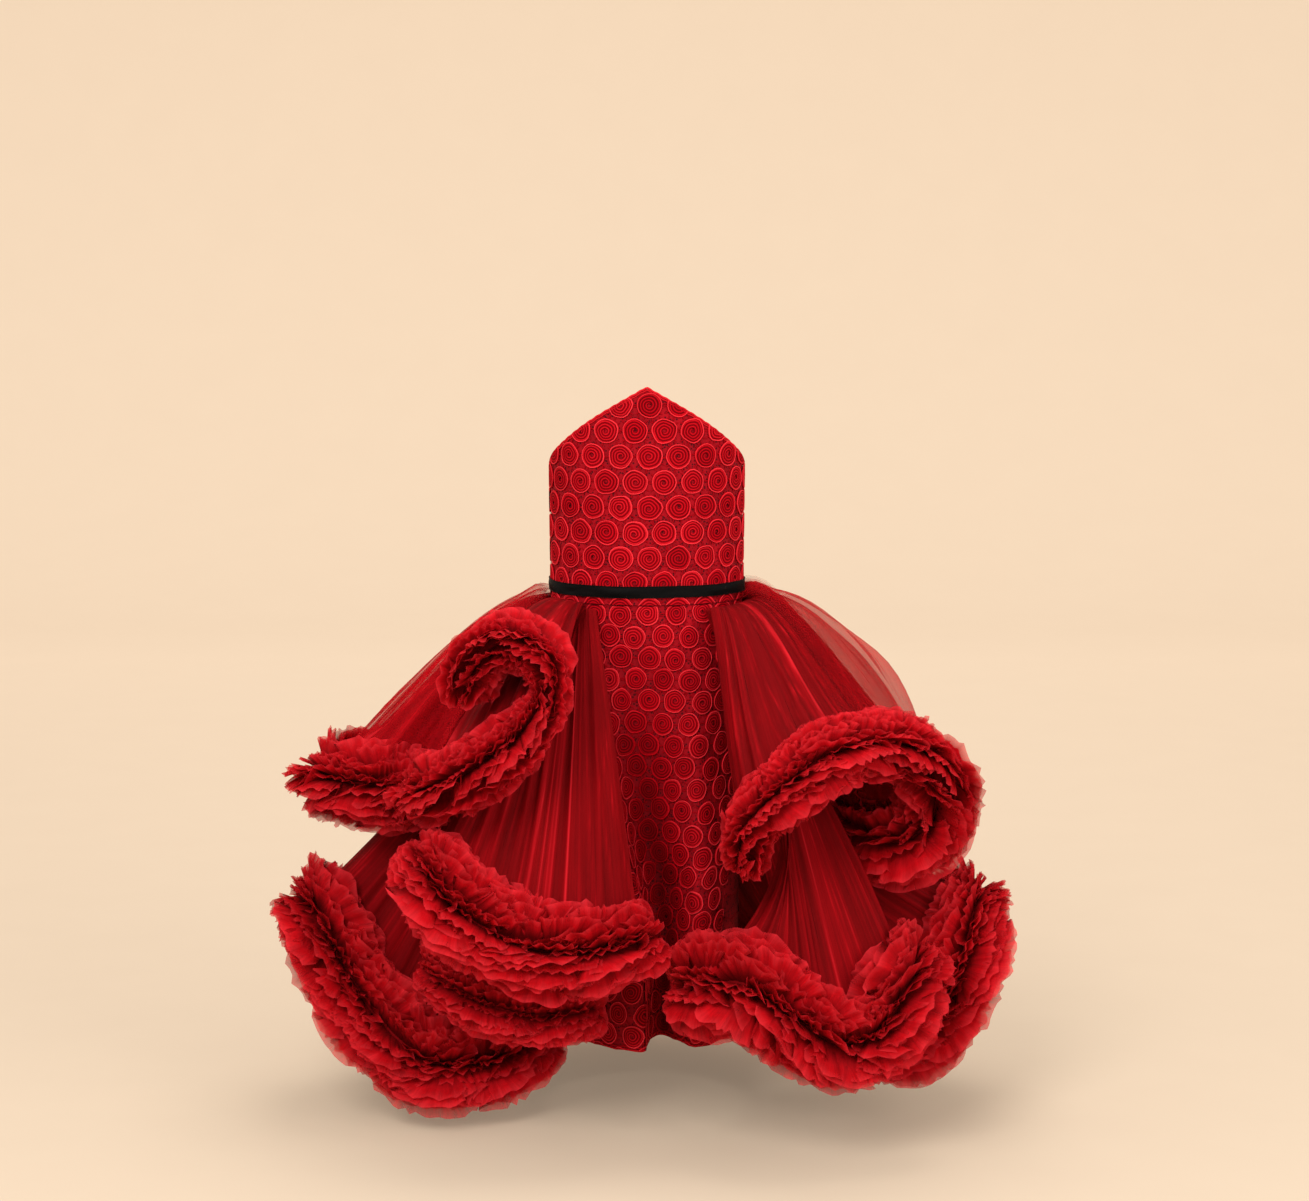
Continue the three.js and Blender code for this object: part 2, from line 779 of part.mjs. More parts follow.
function buildFlounceSheet(flounce, columns, face, normals) {
  for (const { name, first, last } of lengthsOf(columns, flounce.panels)) {
    const side = (lift) =>
      face.slice(first, last + 1).map((column, k) =>
        column.map((point, i) => {
          const moved = point.clone().addScaledVector(normals[first + k][i], lift);
          const inset = k === 0 ? 1 : k === last - first ? -1 : 0;
          const before = face[first + k - 1]?.[i] ?? point;
          const after = face[first + k + 1]?.[i] ?? point;
          const along = after.clone().sub(before).normalize();
          return moved.addScaledVector(along, (inset * SEAM_GAP) / 2);
        }),
      );
    const wall = wallTriangles(side(TULLE_WALL / 2), side(-TULLE_WALL / 2));
    addPiece(name, body(wall), TULLE_MATERIAL);
  }
}

// Points along a ruffle's spine, two to each wave, with the frame that its arms turn in
function ruffleSections(columns, face) {
  const last = columns.length - 1;
  const bottom = SHEET_ROWS;
  const sections = [];
  for (let step = 0; step <= 2 * last; step++) {
    const low = Math.floor(step / 2);
    const high = Math.ceil(step / 2);
    const hem = columns[low].hem.clone().lerp(columns[high].hem, 0.5);
    const before = columns[Math.max(0, Math.ceil(step / 2) - 1)];
    const after = columns[Math.min(last, Math.floor(step / 2) + 1)];
    const atEnd = step === 0 || step === 2 * last;
    const chord = after.hem.clone().sub(before.hem);
    const along = (atEnd ? columns[low].along.clone() : chord).normalize();
    const upCloth = new THREE.Vector3();
    for (const k of [low, high]) {
      upCloth.add(face[k][bottom - 1].clone().sub(face[k][bottom]).normalize());
    }
    upCloth.addScaledVector(along, -upCloth.dot(along)).normalize();
    const outward = along.clone().cross(upCloth).normalize();
    sections.push({
      centre: hem.addScaledVector(upCloth, -(SEAT_GAP + SPINE_HALF)),
      along,
      upCloth,
      outward,
      radius: mix(columns[low].radius, columns[high].radius, 0.5),
    });
  }
  return sections;
}

// A ruffle's outline at one section: a small spine with three arms, all swung to one side.
function ruffleOutline(section, swing, radius) {
  const arms = [
    { toward: 97, from: [1, 1], to: [-1, 1] },
    { toward: 180, from: [-1, 1], to: [-1, -1] },
    { toward: 263, from: [-1, -1], to: [1, -1] },
  ];
  const flat = [];
  for (const arm of arms) {
    const middle = THREE.MathUtils.degToRad(arm.toward);
    const tip = [radius * Math.cos(middle + swing), radius * Math.sin(middle + swing)];
    const aside = [Math.sin(middle) * TIP_HALF, -Math.cos(middle) * TIP_HALF];
    flat.push([arm.from[0] * SPINE_HALF, arm.from[1] * SPINE_HALF]);
    flat.push([tip[0] + aside[0], tip[1] + aside[1]]);
    flat.push([tip[0] - aside[0], tip[1] - aside[1]]);
  }
  flat.push([SPINE_HALF, -SPINE_HALF]);
  return flat.map(([up, out]) =>
    section.centre
      .clone()
      .addScaledVector(section.upCloth, up)
      .addScaledVector(section.outward, out),
  );
}

function buildRuffles(flounce, columns, sections) {
  for (const { name, first, last } of lengthsOf(columns, flounce.strips)) {
    const outlines = [];
    const centres = [];
    for (let step = 2 * first; step <= 2 * last; step++) {
      const end = step === 2 * first ? 1 : step === 2 * last ? -1 : 0;
      const section = { ...sections[step] };
      section.centre = section.centre
        .clone()
        .addScaledVector(section.along, (end * SEAM_GAP) / 2);
      const uneven = 0.95 + 0.05 * Math.sin(step * 2.4);
      const swing = SWING * (step % 2 ? 1 : -1);
      outlines.push(ruffleOutline(section, swing, section.radius * uneven));
      centres.push(section.centre);
    }
    const triangles = [];
    const sides = outlines[0].length;
    for (let i = 0; i + 1 < outlines.length; i++) {
      const [here, there] = [outlines[i], outlines[i + 1]];
      for (let j = 0; j < sides; j++) {
        const next = (j + 1) % sides;
        // both faces of an arm are split along the same diagonal, so that they can't cross
        const inward = j % 3 === 2;
        const split = inward
          ? [[here[j], here[next], there[j]], [here[next], there[next], there[j]]]
          : quad(here[j], here[next], there[next], there[j]);
        triangles.push(...split);
      }
    }
    const lastOutline = outlines.at(-1);
    for (let j = 0; j < sides; j++) {
      const next = (j + 1) % sides;
      triangles.push([outlines[0][next], outlines[0][j], centres[0]]);
      triangles.push([lastOutline[j], lastOutline[next], centres.at(-1)]);
    }
    addPiece(name, body(triangles), RUFFLE_MATERIAL);
  }
}

buildBodice();
buildBelt();
buildZip();
buildLaceSkirt();
for (const flounce of FLOUNCES) {
  const columns = flounceColumns(flounce);
  const face = flounceFace(columns, flounce.flare);
  buildFlounceSheet(flounce, columns, face, faceNormals(face));
  buildRuffles(flounce, columns, ruffleSections(columns, face));
}

export default gown;
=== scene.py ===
import math

import bpy
import numpy as np
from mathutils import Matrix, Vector


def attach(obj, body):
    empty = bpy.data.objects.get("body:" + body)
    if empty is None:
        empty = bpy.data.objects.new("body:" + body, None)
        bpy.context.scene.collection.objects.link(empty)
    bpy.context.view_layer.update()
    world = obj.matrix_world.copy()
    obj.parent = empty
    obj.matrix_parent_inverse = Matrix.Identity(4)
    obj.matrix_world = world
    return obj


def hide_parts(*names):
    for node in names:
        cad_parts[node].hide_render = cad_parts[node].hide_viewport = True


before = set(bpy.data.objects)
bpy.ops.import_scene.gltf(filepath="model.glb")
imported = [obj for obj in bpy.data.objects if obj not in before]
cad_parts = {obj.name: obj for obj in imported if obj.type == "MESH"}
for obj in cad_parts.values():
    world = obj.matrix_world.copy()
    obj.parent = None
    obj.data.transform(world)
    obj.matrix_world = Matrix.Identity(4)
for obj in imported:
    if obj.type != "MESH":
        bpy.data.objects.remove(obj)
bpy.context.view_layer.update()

MM = 0.001

# The bodice's and column's sizes, in mm. WAIST, CHEST and HEM are half the width and half the
# depth. The sizes are the part's own, apart from a slightly more bowed neckline and the column's
# lace rows. PITCH and ROW_HEIGHT space the bodice's lace discs, and SKIRT_PITCH the column's.
WAIST = (100.0, 75.0)
CHEST = (101.0, 79.0)
CHEST_HEIGHT = 150.0
HEM = (97.0, 98.0)
HEM_HEIGHT = -463.0
PEAK_HEIGHT = 224.0
UNDERARM_HEIGHT = 140.0
BACK_HEIGHT = 124.0
NECK_SLOPE = 58.0
NECK_BOW = 18.0
PITCH = 29.6
ROW_HEIGHT = 26.2
BODICE_COLUMNS = 19
SKIRT_COLUMNS = 8
SKIRT_PITCH = 27.9
SKIRT_ROWS = 20
# Each layer of net: how far it stands off the waist in front and behind, and the height it starts at
LAYER = {
    "inner": (2.6, 2.6, -5.0),
    "middle": (4.8, 4.8, -5.0),
    "outer": (7.3, 4.4, -5.0),
    "top": (5.6, 5.6, 0.0),
}
# Where round the waist a layer goes over from its stand-off in front to the one behind
MIDDLE_ENDS = math.radians(74)
# The length of hem between two places where a piece can end, and how far a frill's stitching hangs
# below the hem, in mm
WAVE = 35.0
RUFFLE_DROP = 1.8

# The flounces, from the top tier down. hem is a table of knots: x, y, z and the ruffle's radius
# there. waist is where the net starts and ends round the waist, in degrees from the front. flare
# and belly shape its fall. panels and strips are the sewn lengths of net and frill, each ending at
# the knot whose number stands beside its name. caps is how far the frill fans out past each end,
# as a share of its radius. sheer is the middle and half width, as shares of the hem, of the place
# where loose outer nets stand away, then how much of the net below shows there, and the puff in
# mm. pinch is how far the front edge is drawn in under the ruffle above, in mm.
FLOUNCES = [
    {
        "layer": "top", "waist": [-38, -64], "flare": 1, "pinch": 0,
        "caps": (0, 0.55), "sheer": None,
        "belly": [[0, -8, 4], [0, -7, 8], [0, -6, 12]],
        "hem": [
            [-95, -183, -56, 32], [-95, -181, -44, 33], [-112, -174, -27, 33], [-140, -170, -19, 34],
            [-168, -165, -38, 34], [-179, -160, -67, 33],
        ],
        "panels": [["tulle_upper_left_fold", 5]],
        "strips": [["ruffle_upper_left_arch", 5]],
    },
    {
        "layer": "outer", "waist": [-36, -180], "flare": 1, "pinch": 0,
        "caps": (0, 0), "sheer": (0.4, 0.2, 0.42, 8),
        "belly": [[0, -8, 4], [0, 0, 24], [0, 10, 30]],
        "hem": [
            [-95, -184.5, -62, 27], [-97, -189, -77, 25], [-118, -197, -107, 33], [-163, -203, -141, 39],
            [-204, -190, -166, 38], [-224, -150, -174, 37], [-222, -108, -186, 38], [-252, -76, -188, 46],
            [-298, -74, -184, 45], [-330, -42, -184, 43], [-330, 10, -188, 48], [-292, 44, -190, 46],
            [-246, 62, -196, 46], [-216, 106, -218, 46], [-200, 152, -206, 46], [-164, 190, -204, 44],
            [-120, 212, -220, 44], [-80, 226, -228, 46], [-42, 230, -232, 46], [0, 230, -232, 46],
        ],
        "panels": [["tulle_upper_left_front", 10], ["tulle_upper_left_back", 19]],
        "strips": [
            ["ruffle_upper_left_front", 6],
            ["ruffle_upper_left_side", 11],
            ["ruffle_upper_left_back", 19],
        ],
    },
    {
        "layer": "outer", "waist": [38, 180], "flare": 1, "pinch": 0,
        "caps": (0.7, 0), "sheer": (0.36, 0.2, 0.45, 34),
        "belly": [[0, -8, 12], [0, 0, 44], [0, 10, 34]],
        "hem": [
            [97, -212, -231, 31], [102, -222, -197, 34], [136, -226, -159, 38], [176, -212, -131, 43],
            [222, -184, -124, 39], [268, -148, -138, 43], [295, -125, -177, 46], [286, -106, -221, 50],
            [258, -106, -238, 46], [227, -86, -232, 38], [209, -46, -212, 28], [218, -8, -190, 28],
            [258, 10, -184, 38], [293, 46, -188, 46], [274, 92, -196, 46], [232, 126, -212, 46],
            [200, 160, -206, 44], [158, 192, -204, 43], [116, 212, -220, 44], [76, 226, -228, 46],
            [42, 230, -232, 46], [0, 230, -232, 46],
        ],
        "panels": [["tulle_upper_right_front", 11], ["tulle_upper_right_back", 21]],
        "strips": [
            ["ruffle_upper_right_front", 4.5],
            ["ruffle_upper_right_side", 9.5],
            ["ruffle_upper_right_turn", 14],
            ["ruffle_upper_right_back", 21],
        ],
    },
    {
        "layer": "middle", "waist": [-30, -60], "flare": 1, "pinch": 0,
        "caps": (0.3, 0.85), "sheer": None,
        "belly": [[0, -6, 4], [0, -6, 5], [0, -6, 6]],
        "hem": [
            [-7, -180, -323, 43], [-46, -200, -328, 48], [-96, -208, -328, 50], [-146, -212, -311, 51],
            [-190, -212, -281, 50], [-212, -202, -252, 47],
        ],
        "panels": [["tulle_middle_left", 5]],
        "strips": [["ruffle_middle_left", 5]],
    },
    {
        "layer": "middle", "waist": [36, 72], "flare": 1, "pinch": 78,
        "caps": (0.6, 1.0), "sheer": None,
        "belly": [[10, -4, -6], [10, -6, -12], [0, -10, -24]],
        "hem": [
            [54, -190, -368, 52], [98, -218, -359, 54], [143, -228, -387, 50], [190, -218, -418, 48],
            [234, -200, -410, 46], [256, -188, -374, 48], [264, -160, -360, 48],
        ],
        "panels": [["tulle_middle_right", 6]],
        "strips": [["ruffle_middle_right", 3], ["ruffle_middle_right_lobe", 6]],
    },
    {
        "layer": "inner", "waist": [-33, -58], "flare": 1, "pinch": 0,
        "caps": (0.3, 0.5), "sheer": None,
        "belly": [[-4, -6, 0], [-4, -6, 0], [-4, -6, 0]],
        "hem": [
            [-60, -140, -406, 30], [-114, -155, -408, 32], [-164, -160, -394, 32], [-202, -150, -374, 28],
            [-220, -118, -368, 26],
        ],
        "panels": [["tulle_lower_left_front", 4]],
        "strips": [["ruffle_lower_left_front", 4]],
    },
    {
        "layer": "inner", "waist": [-62, -180], "flare": 1.4, "pinch": 0,
        "caps": (0.6, 0), "sheer": None,
        "belly": [[-8, -12, 0], [-6, 0, 0], [0, 8, 0]],
        "hem": [
            [-118, -58, -462, 43], [-172, -80, -479, 48], [-228, -90, -474, 51], [-276, -85, -434, 52],
            [-312, -75, -381, 51], [-338, -58, -332, 50], [-352, -14, -322, 48], [-340, 38, -345, 46],
            [-300, 72, -365, 46], [-258, 104, -392, 46], [-225, 145, -420, 48], [-180, 185, -440, 49],
            [-130, 218, -428, 48], [-84, 232, -450, 48], [-42, 238, -458, 48], [0, 238, -458, 48],
        ],
        "panels": [["tulle_lower_left_side", 7], ["tulle_lower_left_back", 15]],
        "strips": [
            ["ruffle_lower_left_side", 4],
            ["ruffle_lower_left_turn", 9],
            ["ruffle_lower_left_back", 15],
        ],
    },
    {
        "layer": "inner", "waist": [64, 180], "flare": 3, "pinch": 0,
        "caps": (0.7, 0), "sheer": None,
        "belly": [[8, -12, 0], [6, 0, 0], [0, 8, 0]],
        "hem": [
            [222, -70, -470, 38], [269, -85, -454, 46], [309, -78, -415, 48], [329, -68, -369, 48],
            [340, -45, -328, 41], [344, 0, -322, 41], [332, 44, -345, 46], [296, 76, -365, 46],
            [256, 106, -392, 46], [224, 147, -420, 48], [180, 185, -440, 49], [130, 218, -428, 48],
            [84, 232, -450, 48], [42, 238, -458, 48], [0, 238, -458, 48],
        ],
        "panels": [["tulle_lower_right_side", 5], ["tulle_lower_right_back", 14]],
        "strips": [
            ["ruffle_lower_right_side", 4],
            ["ruffle_lower_right_turn", 8],
            ["ruffle_lower_right_back", 14],
        ],
    },
]

# Numbers and meshes


def mix(a, b, t):
    return a + (b - a) * t


def ease(value, low, high):
    t = np.clip((value - low) / (high - low), 0.0, 1.0)
    return t * t * (3 - 2 * t)


def unit(vectors):
    length = np.linalg.norm(vectors, axis=-1, keepdims=True)
    return vectors / np.maximum(length, 1e-9)


def wander(where, rng, size, octaves=3):
    """Smooth seeded unevenness along a length, about -1 to 1. size is its longest wave, in mm."""
    total = np.zeros_like(where, dtype=float)
    for octave in range(octaves):
        step = size / 1.7**octave
        total += 0.6 ** (octave + 1) * np.sin(
            2 * np.pi * where / step * rng.uniform(0.8, 1.25) + rng.uniform(0, 2 * np.pi)
        )
    return total


def together(*values):
    """Arrays of unlike shapes, spread out and joined as one array of vectors."""
    return np.stack(np.broadcast_arrays(*values), -1)


class Cloth:
    """Grids of points gathered into one mesh, with numbers for its material at each point."""

    def __init__(self):
        self.points, self.quads, self.marks, self.count = [], [], {}, 0
        self.kinds = []

    def add(self, grid, second=None, **marks):
        rows, columns = grid.shape[:2]
        index = np.arange(rows * columns).reshape(rows, columns) + self.count
        quads = np.stack(
            [index[:-1, :-1], index[:-1, 1:], index[1:, 1:], index[1:, :-1]], axis=-1
        ).reshape(-1, 4)
        self.points.append(grid.reshape(-1, 3))
        self.quads.append(quads)
        kinds = np.zeros(rows - 1, int) if second is None else np.asarray(second, int)
        self.kinds.append(np.repeat(kinds, columns - 1))
        for name, value in marks.items():
            value = np.asarray(value, float)
            shape = (rows, columns, 3) if value.ndim == 3 else (rows, columns)
            flat = np.broadcast_to(value, shape).reshape(rows * columns, -1)
            self.marks.setdefault(name, []).append(flat)
        self.count += rows * columns

    def piece(self, name, materials, slot, body="root"):
        points = np.concatenate(self.points)
        quads = np.concatenate(self.quads)
        a, b, c, d = (points[quads[:, i]] for i in range(4))
        area = np.linalg.norm(np.cross(c - a, d - b), axis=1) / 2
        kept = area > 1e-3
        quads = quads[kept]
        kinds = np.concatenate(self.kinds)[kept]
        mesh = bpy.data.meshes.new(name)
        mesh.vertices.add(len(points))
        mesh.vertices.foreach_set("co", (points * MM).astype(np.float32).ravel())
        mesh.loops.add(len(quads) * 4)
        mesh.loops.foreach_set("vertex_index", quads.astype(np.int32).ravel())
        mesh.polygons.add(len(quads))
        mesh.polygons.foreach_set("loop_start", np.arange(0, len(quads) * 4, 4, dtype=np.int32))
        mesh.polygons.foreach_set("use_smooth", np.ones(len(quads), dtype=bool))
        mesh.polygons.foreach_set("material_index", kinds.astype(np.int32))
        for mark, values in self.marks.items():
            values = np.concatenate(values).astype(np.float32)
            vector = values.shape[1] == 3
            layer = mesh.attributes.new(mark, "FLOAT_VECTOR" if vector else "FLOAT", "POINT")
            layer.data.foreach_set("vector" if vector else "value", values.ravel())
        for material in materials if isinstance(materials, list) else [materials]:
            mesh.materials.append(material)
        mesh.update(calc_edges=True)
        mesh.validate()
        piece = bpy.data.objects.new(name, mesh)
        bpy.context.scene.collection.objects.link(piece)
        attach(piece, body)
        piece["cloth_area"] = float(area.sum()) * MM * MM
        return piece


# Materials


class Nodes:
    """A material's node tree, with short ways to add and join nodes."""

    def __init__(self, name):
        self.material = bpy.data.materials.new(name)
        self.material.use_nodes = True
        self.tree = self.material.node_tree
        self.tree.nodes.clear()

    def new(self, kind, inputs=None, **settings):
        node = self.tree.nodes.new(kind)
        for key, value in settings.items():
            setattr(node, key, value)
        for key, value in (inputs or {}).items():
            if isinstance(value, bpy.types.NodeSocket):
                self.tree.links.new(value, node.inputs[key])
            else:
                node.inputs[key].default_value = value
        return node

    def mark(self, name, output="Fac"):
        node = self.new("ShaderNodeAttribute", attribute_name=name)
        return node.outputs[output]

    def math(self, operation, a, b=0.0, clamp=False):
        node = self.new("ShaderNodeMath", {0: a, 1: b}, operation=operation, use_clamp=clamp)
        return node.outputs[0]

    def noise(self, vector, scale, detail=3.0, roughness=0.55):
        node = self.new(
            "ShaderNodeTexNoise",
            {"Vector": vector, "Scale": scale, "Detail": detail, "Roughness": roughness},
        )
        return node.outputs["Fac"]

    def stretch(self, vector, scale):
        node = self.new("ShaderNodeVectorMath", {0: vector, 1: scale}, operation="MULTIPLY")
        return node.outputs[0]

    def ramp(self, factor, stops):
        node = self.new("ShaderNodeValToRGB", {"Fac": factor})
        elements = node.color_ramp.elements
        while len(elements) < len(stops):
            elements.new(0.5)
        for element, (place, color) in zip(elements, stops):
            element.position = place
            element.color = (*color, 1.0)
        return node.outputs["Color"]

    def tint(self, color, factor):
        """The colour times a number."""
        node = self.new("ShaderNodeVectorMath", {0: color, "Scale": factor}, operation="SCALE")
        return node.outputs[0]

    def blend(self, factor, a, b):
        node = self.new("ShaderNodeMix", data_type="RGBA")
        for key, value in ((0, factor), (6, a), (7, b)):
            if isinstance(value, bpy.types.NodeSocket):
                self.tree.links.new(value, node.inputs[key])
            else:
                node.inputs[key].default_value = value if key == 0 else (*value, 1.0)
        return node.outputs[2]

    def bump(self, height, strength, distance):
        node = self.new(
            "ShaderNodeBump", {"Height": height, "Strength": strength, "Distance": distance}
        )
        return node.outputs[0]

    def surface(self, color, roughness, specular, **more):
        """The main shader. more gives its further inputs, with _ for each space in a name."""
        inputs = {"Base Color": color, "Roughness": roughness, "Specular IOR Level": specular}
        inputs.update({name.replace("_", " "): value for name, value in more.items()})
        return self.new("ShaderNodeBsdfPrincipled", inputs).outputs[0]

    def finish(self, shader):
        out = self.new("ShaderNodeOutputMaterial")
        self.tree.links.new(shader, out.inputs["Surface"])
        return self.material


def srgb(r, g, b):
    def linear(v):
        v /= 255
        return v / 12.92 if v <= 0.04045 else ((v + 0.055) / 1.055) ** 2.4

    return (linear(r), linear(g), linear(b))


def tulle_material(name, deep, middle, light, opacity, through, streaky):
    """Net: threads run with the cloth, creases and cut edges get a painted highlight, hollows painted
    shade, and light comes through.
    The mark cloth is along, down and layer; fold is 0 in a hollow to 1 on a crease or edge, and picks the
    colour from deep, the painted shade, to light, the painted highlight.
    opacity is None where the layers are too many to see through."""
    n = Nodes(name)
    cloth = n.mark("cloth", "Vector")
    fold = n.mark("fold")
    streaks = n.noise(n.stretch(cloth, (0.42, 0.012, 3.1)), 1.0, 4.0, 0.7)
    patches = n.noise(n.stretch(cloth, (0.03, 0.02, 5.3)), 1.0, 2.0)
    tone = n.math("ADD", n.math("MULTIPLY", streaks, streaky), n.math("MULTIPLY", patches, 0.5))
    # painted shade and highlight: the colour runs from the shaded deep tone in hollows to the lit light
    # tone on creases and edges
    color = n.ramp(fold, [(0.0, deep), (0.55, middle), (1.0, light)])
    color = n.tint(color, n.math("ADD", tone, 0.75 - streaky / 2))
    bumps = n.bump(streaks, 0.6, 0.0012)
    surface = n.surface(color, 0.8, 0.08, Normal=bumps)
    glow = n.new("ShaderNodeBsdfTranslucent", {"Color": color, "Normal": bumps}).outputs[0]
    cloth_shader = n.new("ShaderNodeMixShader", {0: through, 1: surface, 2: glow}).outputs[0]
    if opacity is None:
        return n.finish(cloth_shader)
    cover = n.math("ADD", n.math("MULTIPLY", fold, 0.25), opacity - 0.1)
    cover = n.math("ADD", cover, n.math("MULTIPLY", streaks, 0.2))
    alpha = n.math("MULTIPLY", cover, n.mark("veil"), clamp=True)
    clear = n.new("ShaderNodeBsdfTransparent").outputs[0]
    return n.finish(n.new("ShaderNodeMixShader", {0: alpha, 1: clear, 2: cloth_shader}).outputs[0])


def lace_material():
    """Corded lace: raised cords are lighter, partly their own thicker cord and partly a painted
    highlight, and the hollows between their turns darker, partly painted shade.
    """
    n = Nodes("corded_lace")
    cloth = n.mark("cloth", "Vector")
    raised = n.mark("fold")
    thread = n.noise(n.stretch(cloth, (1.6, 1.6, 1.6)), 1.0, 4.0, 0.7)
    patches = n.noise(n.stretch(cloth, (0.02, 0.02, 0.02)), 1.0, 2.0)
    color = n.ramp(
        raised,
        [
            (0.0, srgb(56, 0, 2)),
            (0.36, srgb(104, 0, 6)),
            (0.72, srgb(160, 2, 14)),
            (1.0, srgb(198, 40, 48)),
        ],
    )
    tone = n.math("ADD", n.math("MULTIPLY", thread, 0.6), n.math("MULTIPLY", patches, 0.5))
    color = n.tint(color, n.math("ADD", tone, 0.45))
    return n.finish(n.surface(color, 0.75, 0.03, Normal=n.bump(thread, 0.6, 0.0006)))


def lining_material():
    """Plain woven lining that shows dark through the lace."""
    n = Nodes("lining")
    cloth = n.mark("cloth", "Vector")
    wave = [
        n.new(
            "ShaderNodeTexWave",
            {"Vector": cloth, "Scale": 0.32, "Distortion": 1.2, "Detail": 2.0},
            bands_direction=direction,
        ).outputs["Fac"]
        for direction in ("X", "Y")
    ]
    weave = n.math("MULTIPLY", wave[0], wave[1])
    patches = n.noise(n.stretch(cloth, (0.03, 0.03, 0.03)), 1.0, 3.0)
    color = n.ramp(patches, [(0.3, srgb(112, 0, 10)), (0.7, srgb(146, 2, 16))])
    holes = n.new(
        "ShaderNodeTexVoronoi",
        {"Vector": n.stretch(cloth, (1.0, 1.0, 0.0)), "Scale": 0.3},
    ).outputs["Distance"]
    color = n.blend(
        n.ramp(holes, [(0.22, (1, 1, 1)), (0.4, (0, 0, 0))]), color, srgb(58, 0, 6)
    )
    # the fold mark, 0.3 on plain cloth, scales the colour; lower values put painted shade down in the
    # skirt's fold
    color = n.tint(color, n.math("DIVIDE", n.mark("fold"), 0.3))
    return n.finish(n.surface(color, 0.8, 0.1, Normal=n.bump(weave, 0.3, 0.0004)))


def ribbon_material():
    """Black satin: fine ribs across, a soft sheen and uneven patches of tone and gloss."""
    n = Nodes("black_satin")
    cloth = n.mark("cloth", "Vector")
    ribs = n.noise(n.stretch(cloth, (0.5, 9.0, 1.0)), 1.0, 3.0)
    patches = n.noise(n.stretch(cloth, (0.04, 0.15, 1.0)), 1.0, 3.0)
    color = n.ramp(patches, [(0.35, srgb(3, 3, 3)), (0.75, srgb(10, 9, 8))])
    rough = n.math("ADD", n.math("MULTIPLY", patches, 0.2), 0.42)
    return n.finish(n.surface(color, rough, 0.04, Normal=n.bump(ribs, 0.35, 0.0004)))


def zip_material():
    """Red enamelled metal with fine scuffs."""
    n = Nodes("zip_enamel")
    place = n.new("ShaderNodeTexCoord").outputs["Object"]
    scuffs = n.noise(n.stretch(place, (900, 900, 160)), 1.0, 4.0, 0.7)
    color = n.ramp(
        scuffs,
        [(0.35, srgb(112, 4, 16)), (0.6, srgb(150, 10, 24)), (0.8, srgb(176, 60, 62))],
    )
    rough = n.math("ADD", n.math("MULTIPLY", scuffs, 0.3), 0.18)
    surface = n.new(
        "ShaderNodeBsdfPrincipled",
        {
            "Base Color": color,
            "Metallic": 0.35,
            "Roughness": rough,
            "Coat Weight": 0.3,
            "Normal": n.bump(scuffs, 0.25, 0.0002),
        },
    ).outputs[0]
    return n.finish(surface)


LACE = lace_material()
LINING = lining_material()
RIBBON = ribbon_material()
ZIP = zip_material()
# each net's colours: deep is its painted shade, middle its plain tone, light its painted highlight
SHEET_TULLE = tulle_material(
    "tulle_flounce", srgb(94, 0, 2), srgb(144, 1, 9), srgb(212, 30, 40), 0.86, 0.35, 0.9
)
VEIL_TULLE = tulle_material(
    "tulle_veil", srgb(150, 0, 10), srgb(190, 8, 20), srgb(226, 40, 50), 0.5, 0.45, 0.9
)
FRILL_TULLE = tulle_material(
    "tulle_frill", srgb(112, 1, 6), srgb(178, 7, 18), srgb(216, 42, 51), None, 0.42, 1.4
)
FRILL_EDGE = tulle_material(
    "tulle_frill_edge", srgb(112, 1, 6), srgb(178, 7, 18), srgb(216, 42, 51), 0.84, 0.42, 1.4
)

SHEET_TULLE.use_transparent_shadow = False
FRILL_EDGE.use_transparent_shadow = False

# The dress's forms


def bodice_size(height):
    up = ease(height, 0.0, CHEST_HEIGHT)
    return mix(WAIST[0], CHEST[0], up), mix(WAIST[1], CHEST[1], up)


def on_ellipse(across, deep, angle, height, lift):
    normal = unit(np.stack([np.sin(angle) / across, -np.cos(angle) / deep], axis=-1))
    return np.stack(
        [
            across * np.sin(angle) + lift * normal[..., 0],
            -deep * np.cos(angle) + lift * normal[..., 1],
            height + 0 * angle,
        ],
        axis=-1,
    )


# The chest's turning angles, and how far each lies along the cloth from the centre front
ROUND = np.linspace(-np.pi, np.pi, 2881)
steps = np.hypot(np.diff(CHEST[0] * np.sin(ROUND)), np.diff(CHEST[1] * np.cos(ROUND)))
ALONG = np.concatenate([[0], np.cumsum(steps)])
BODICE_HALF = PITCH * BODICE_COLUMNS / 2
ALONG = (ALONG / ALONG[-1] * 2 - 1) * BODICE_HALF


def bodice_point(along, height, lift):
    angle = np.interp(along, ALONG, ROUND)
    across, deep = bodice_size(height)
    return on_ellipse(across, deep, angle, height, lift)


def neckline_height(along):
    """The bodice's top edge above a place along the cloth."""
    angle = np.interp(along, ALONG, ROUND)
    out = np.abs(CHEST[0] * np.sin(angle)) / CHEST[0]
    turn = PEAK_HEIGHT - UNDERARM_HEIGHT - NECK_SLOPE - NECK_BOW
    front = PEAK_HEIGHT - NECK_SLOPE * out - NECK_BOW * out**4 - turn * out**36
    back = mix(BACK_HEIGHT, UNDERARM_HEIGHT, out)
    return np.where(np.cos(angle) > 0, front, back)


FOLD_ROWS = np.array(
    [
        # height, left ridge, right ridge, depth
        (0, -52, 58, 0),
        (-60, -47, 54, 4),
        (-150, -38, 50, 13),
        (-245, -22, 52, 22),
        (-300, -8, 52, 26),
        (-400, -2, 52, 28),
        (-470, -2, 50, 28),
    ],
    float,
)


def fold_row(height):
    """The fold's left ridge, right ridge and depth at a height."""
    return (np.interp(-height, -FOLD_ROWS[:, 0], FOLD_ROWS[:, i]) for i in (1, 2, 3))


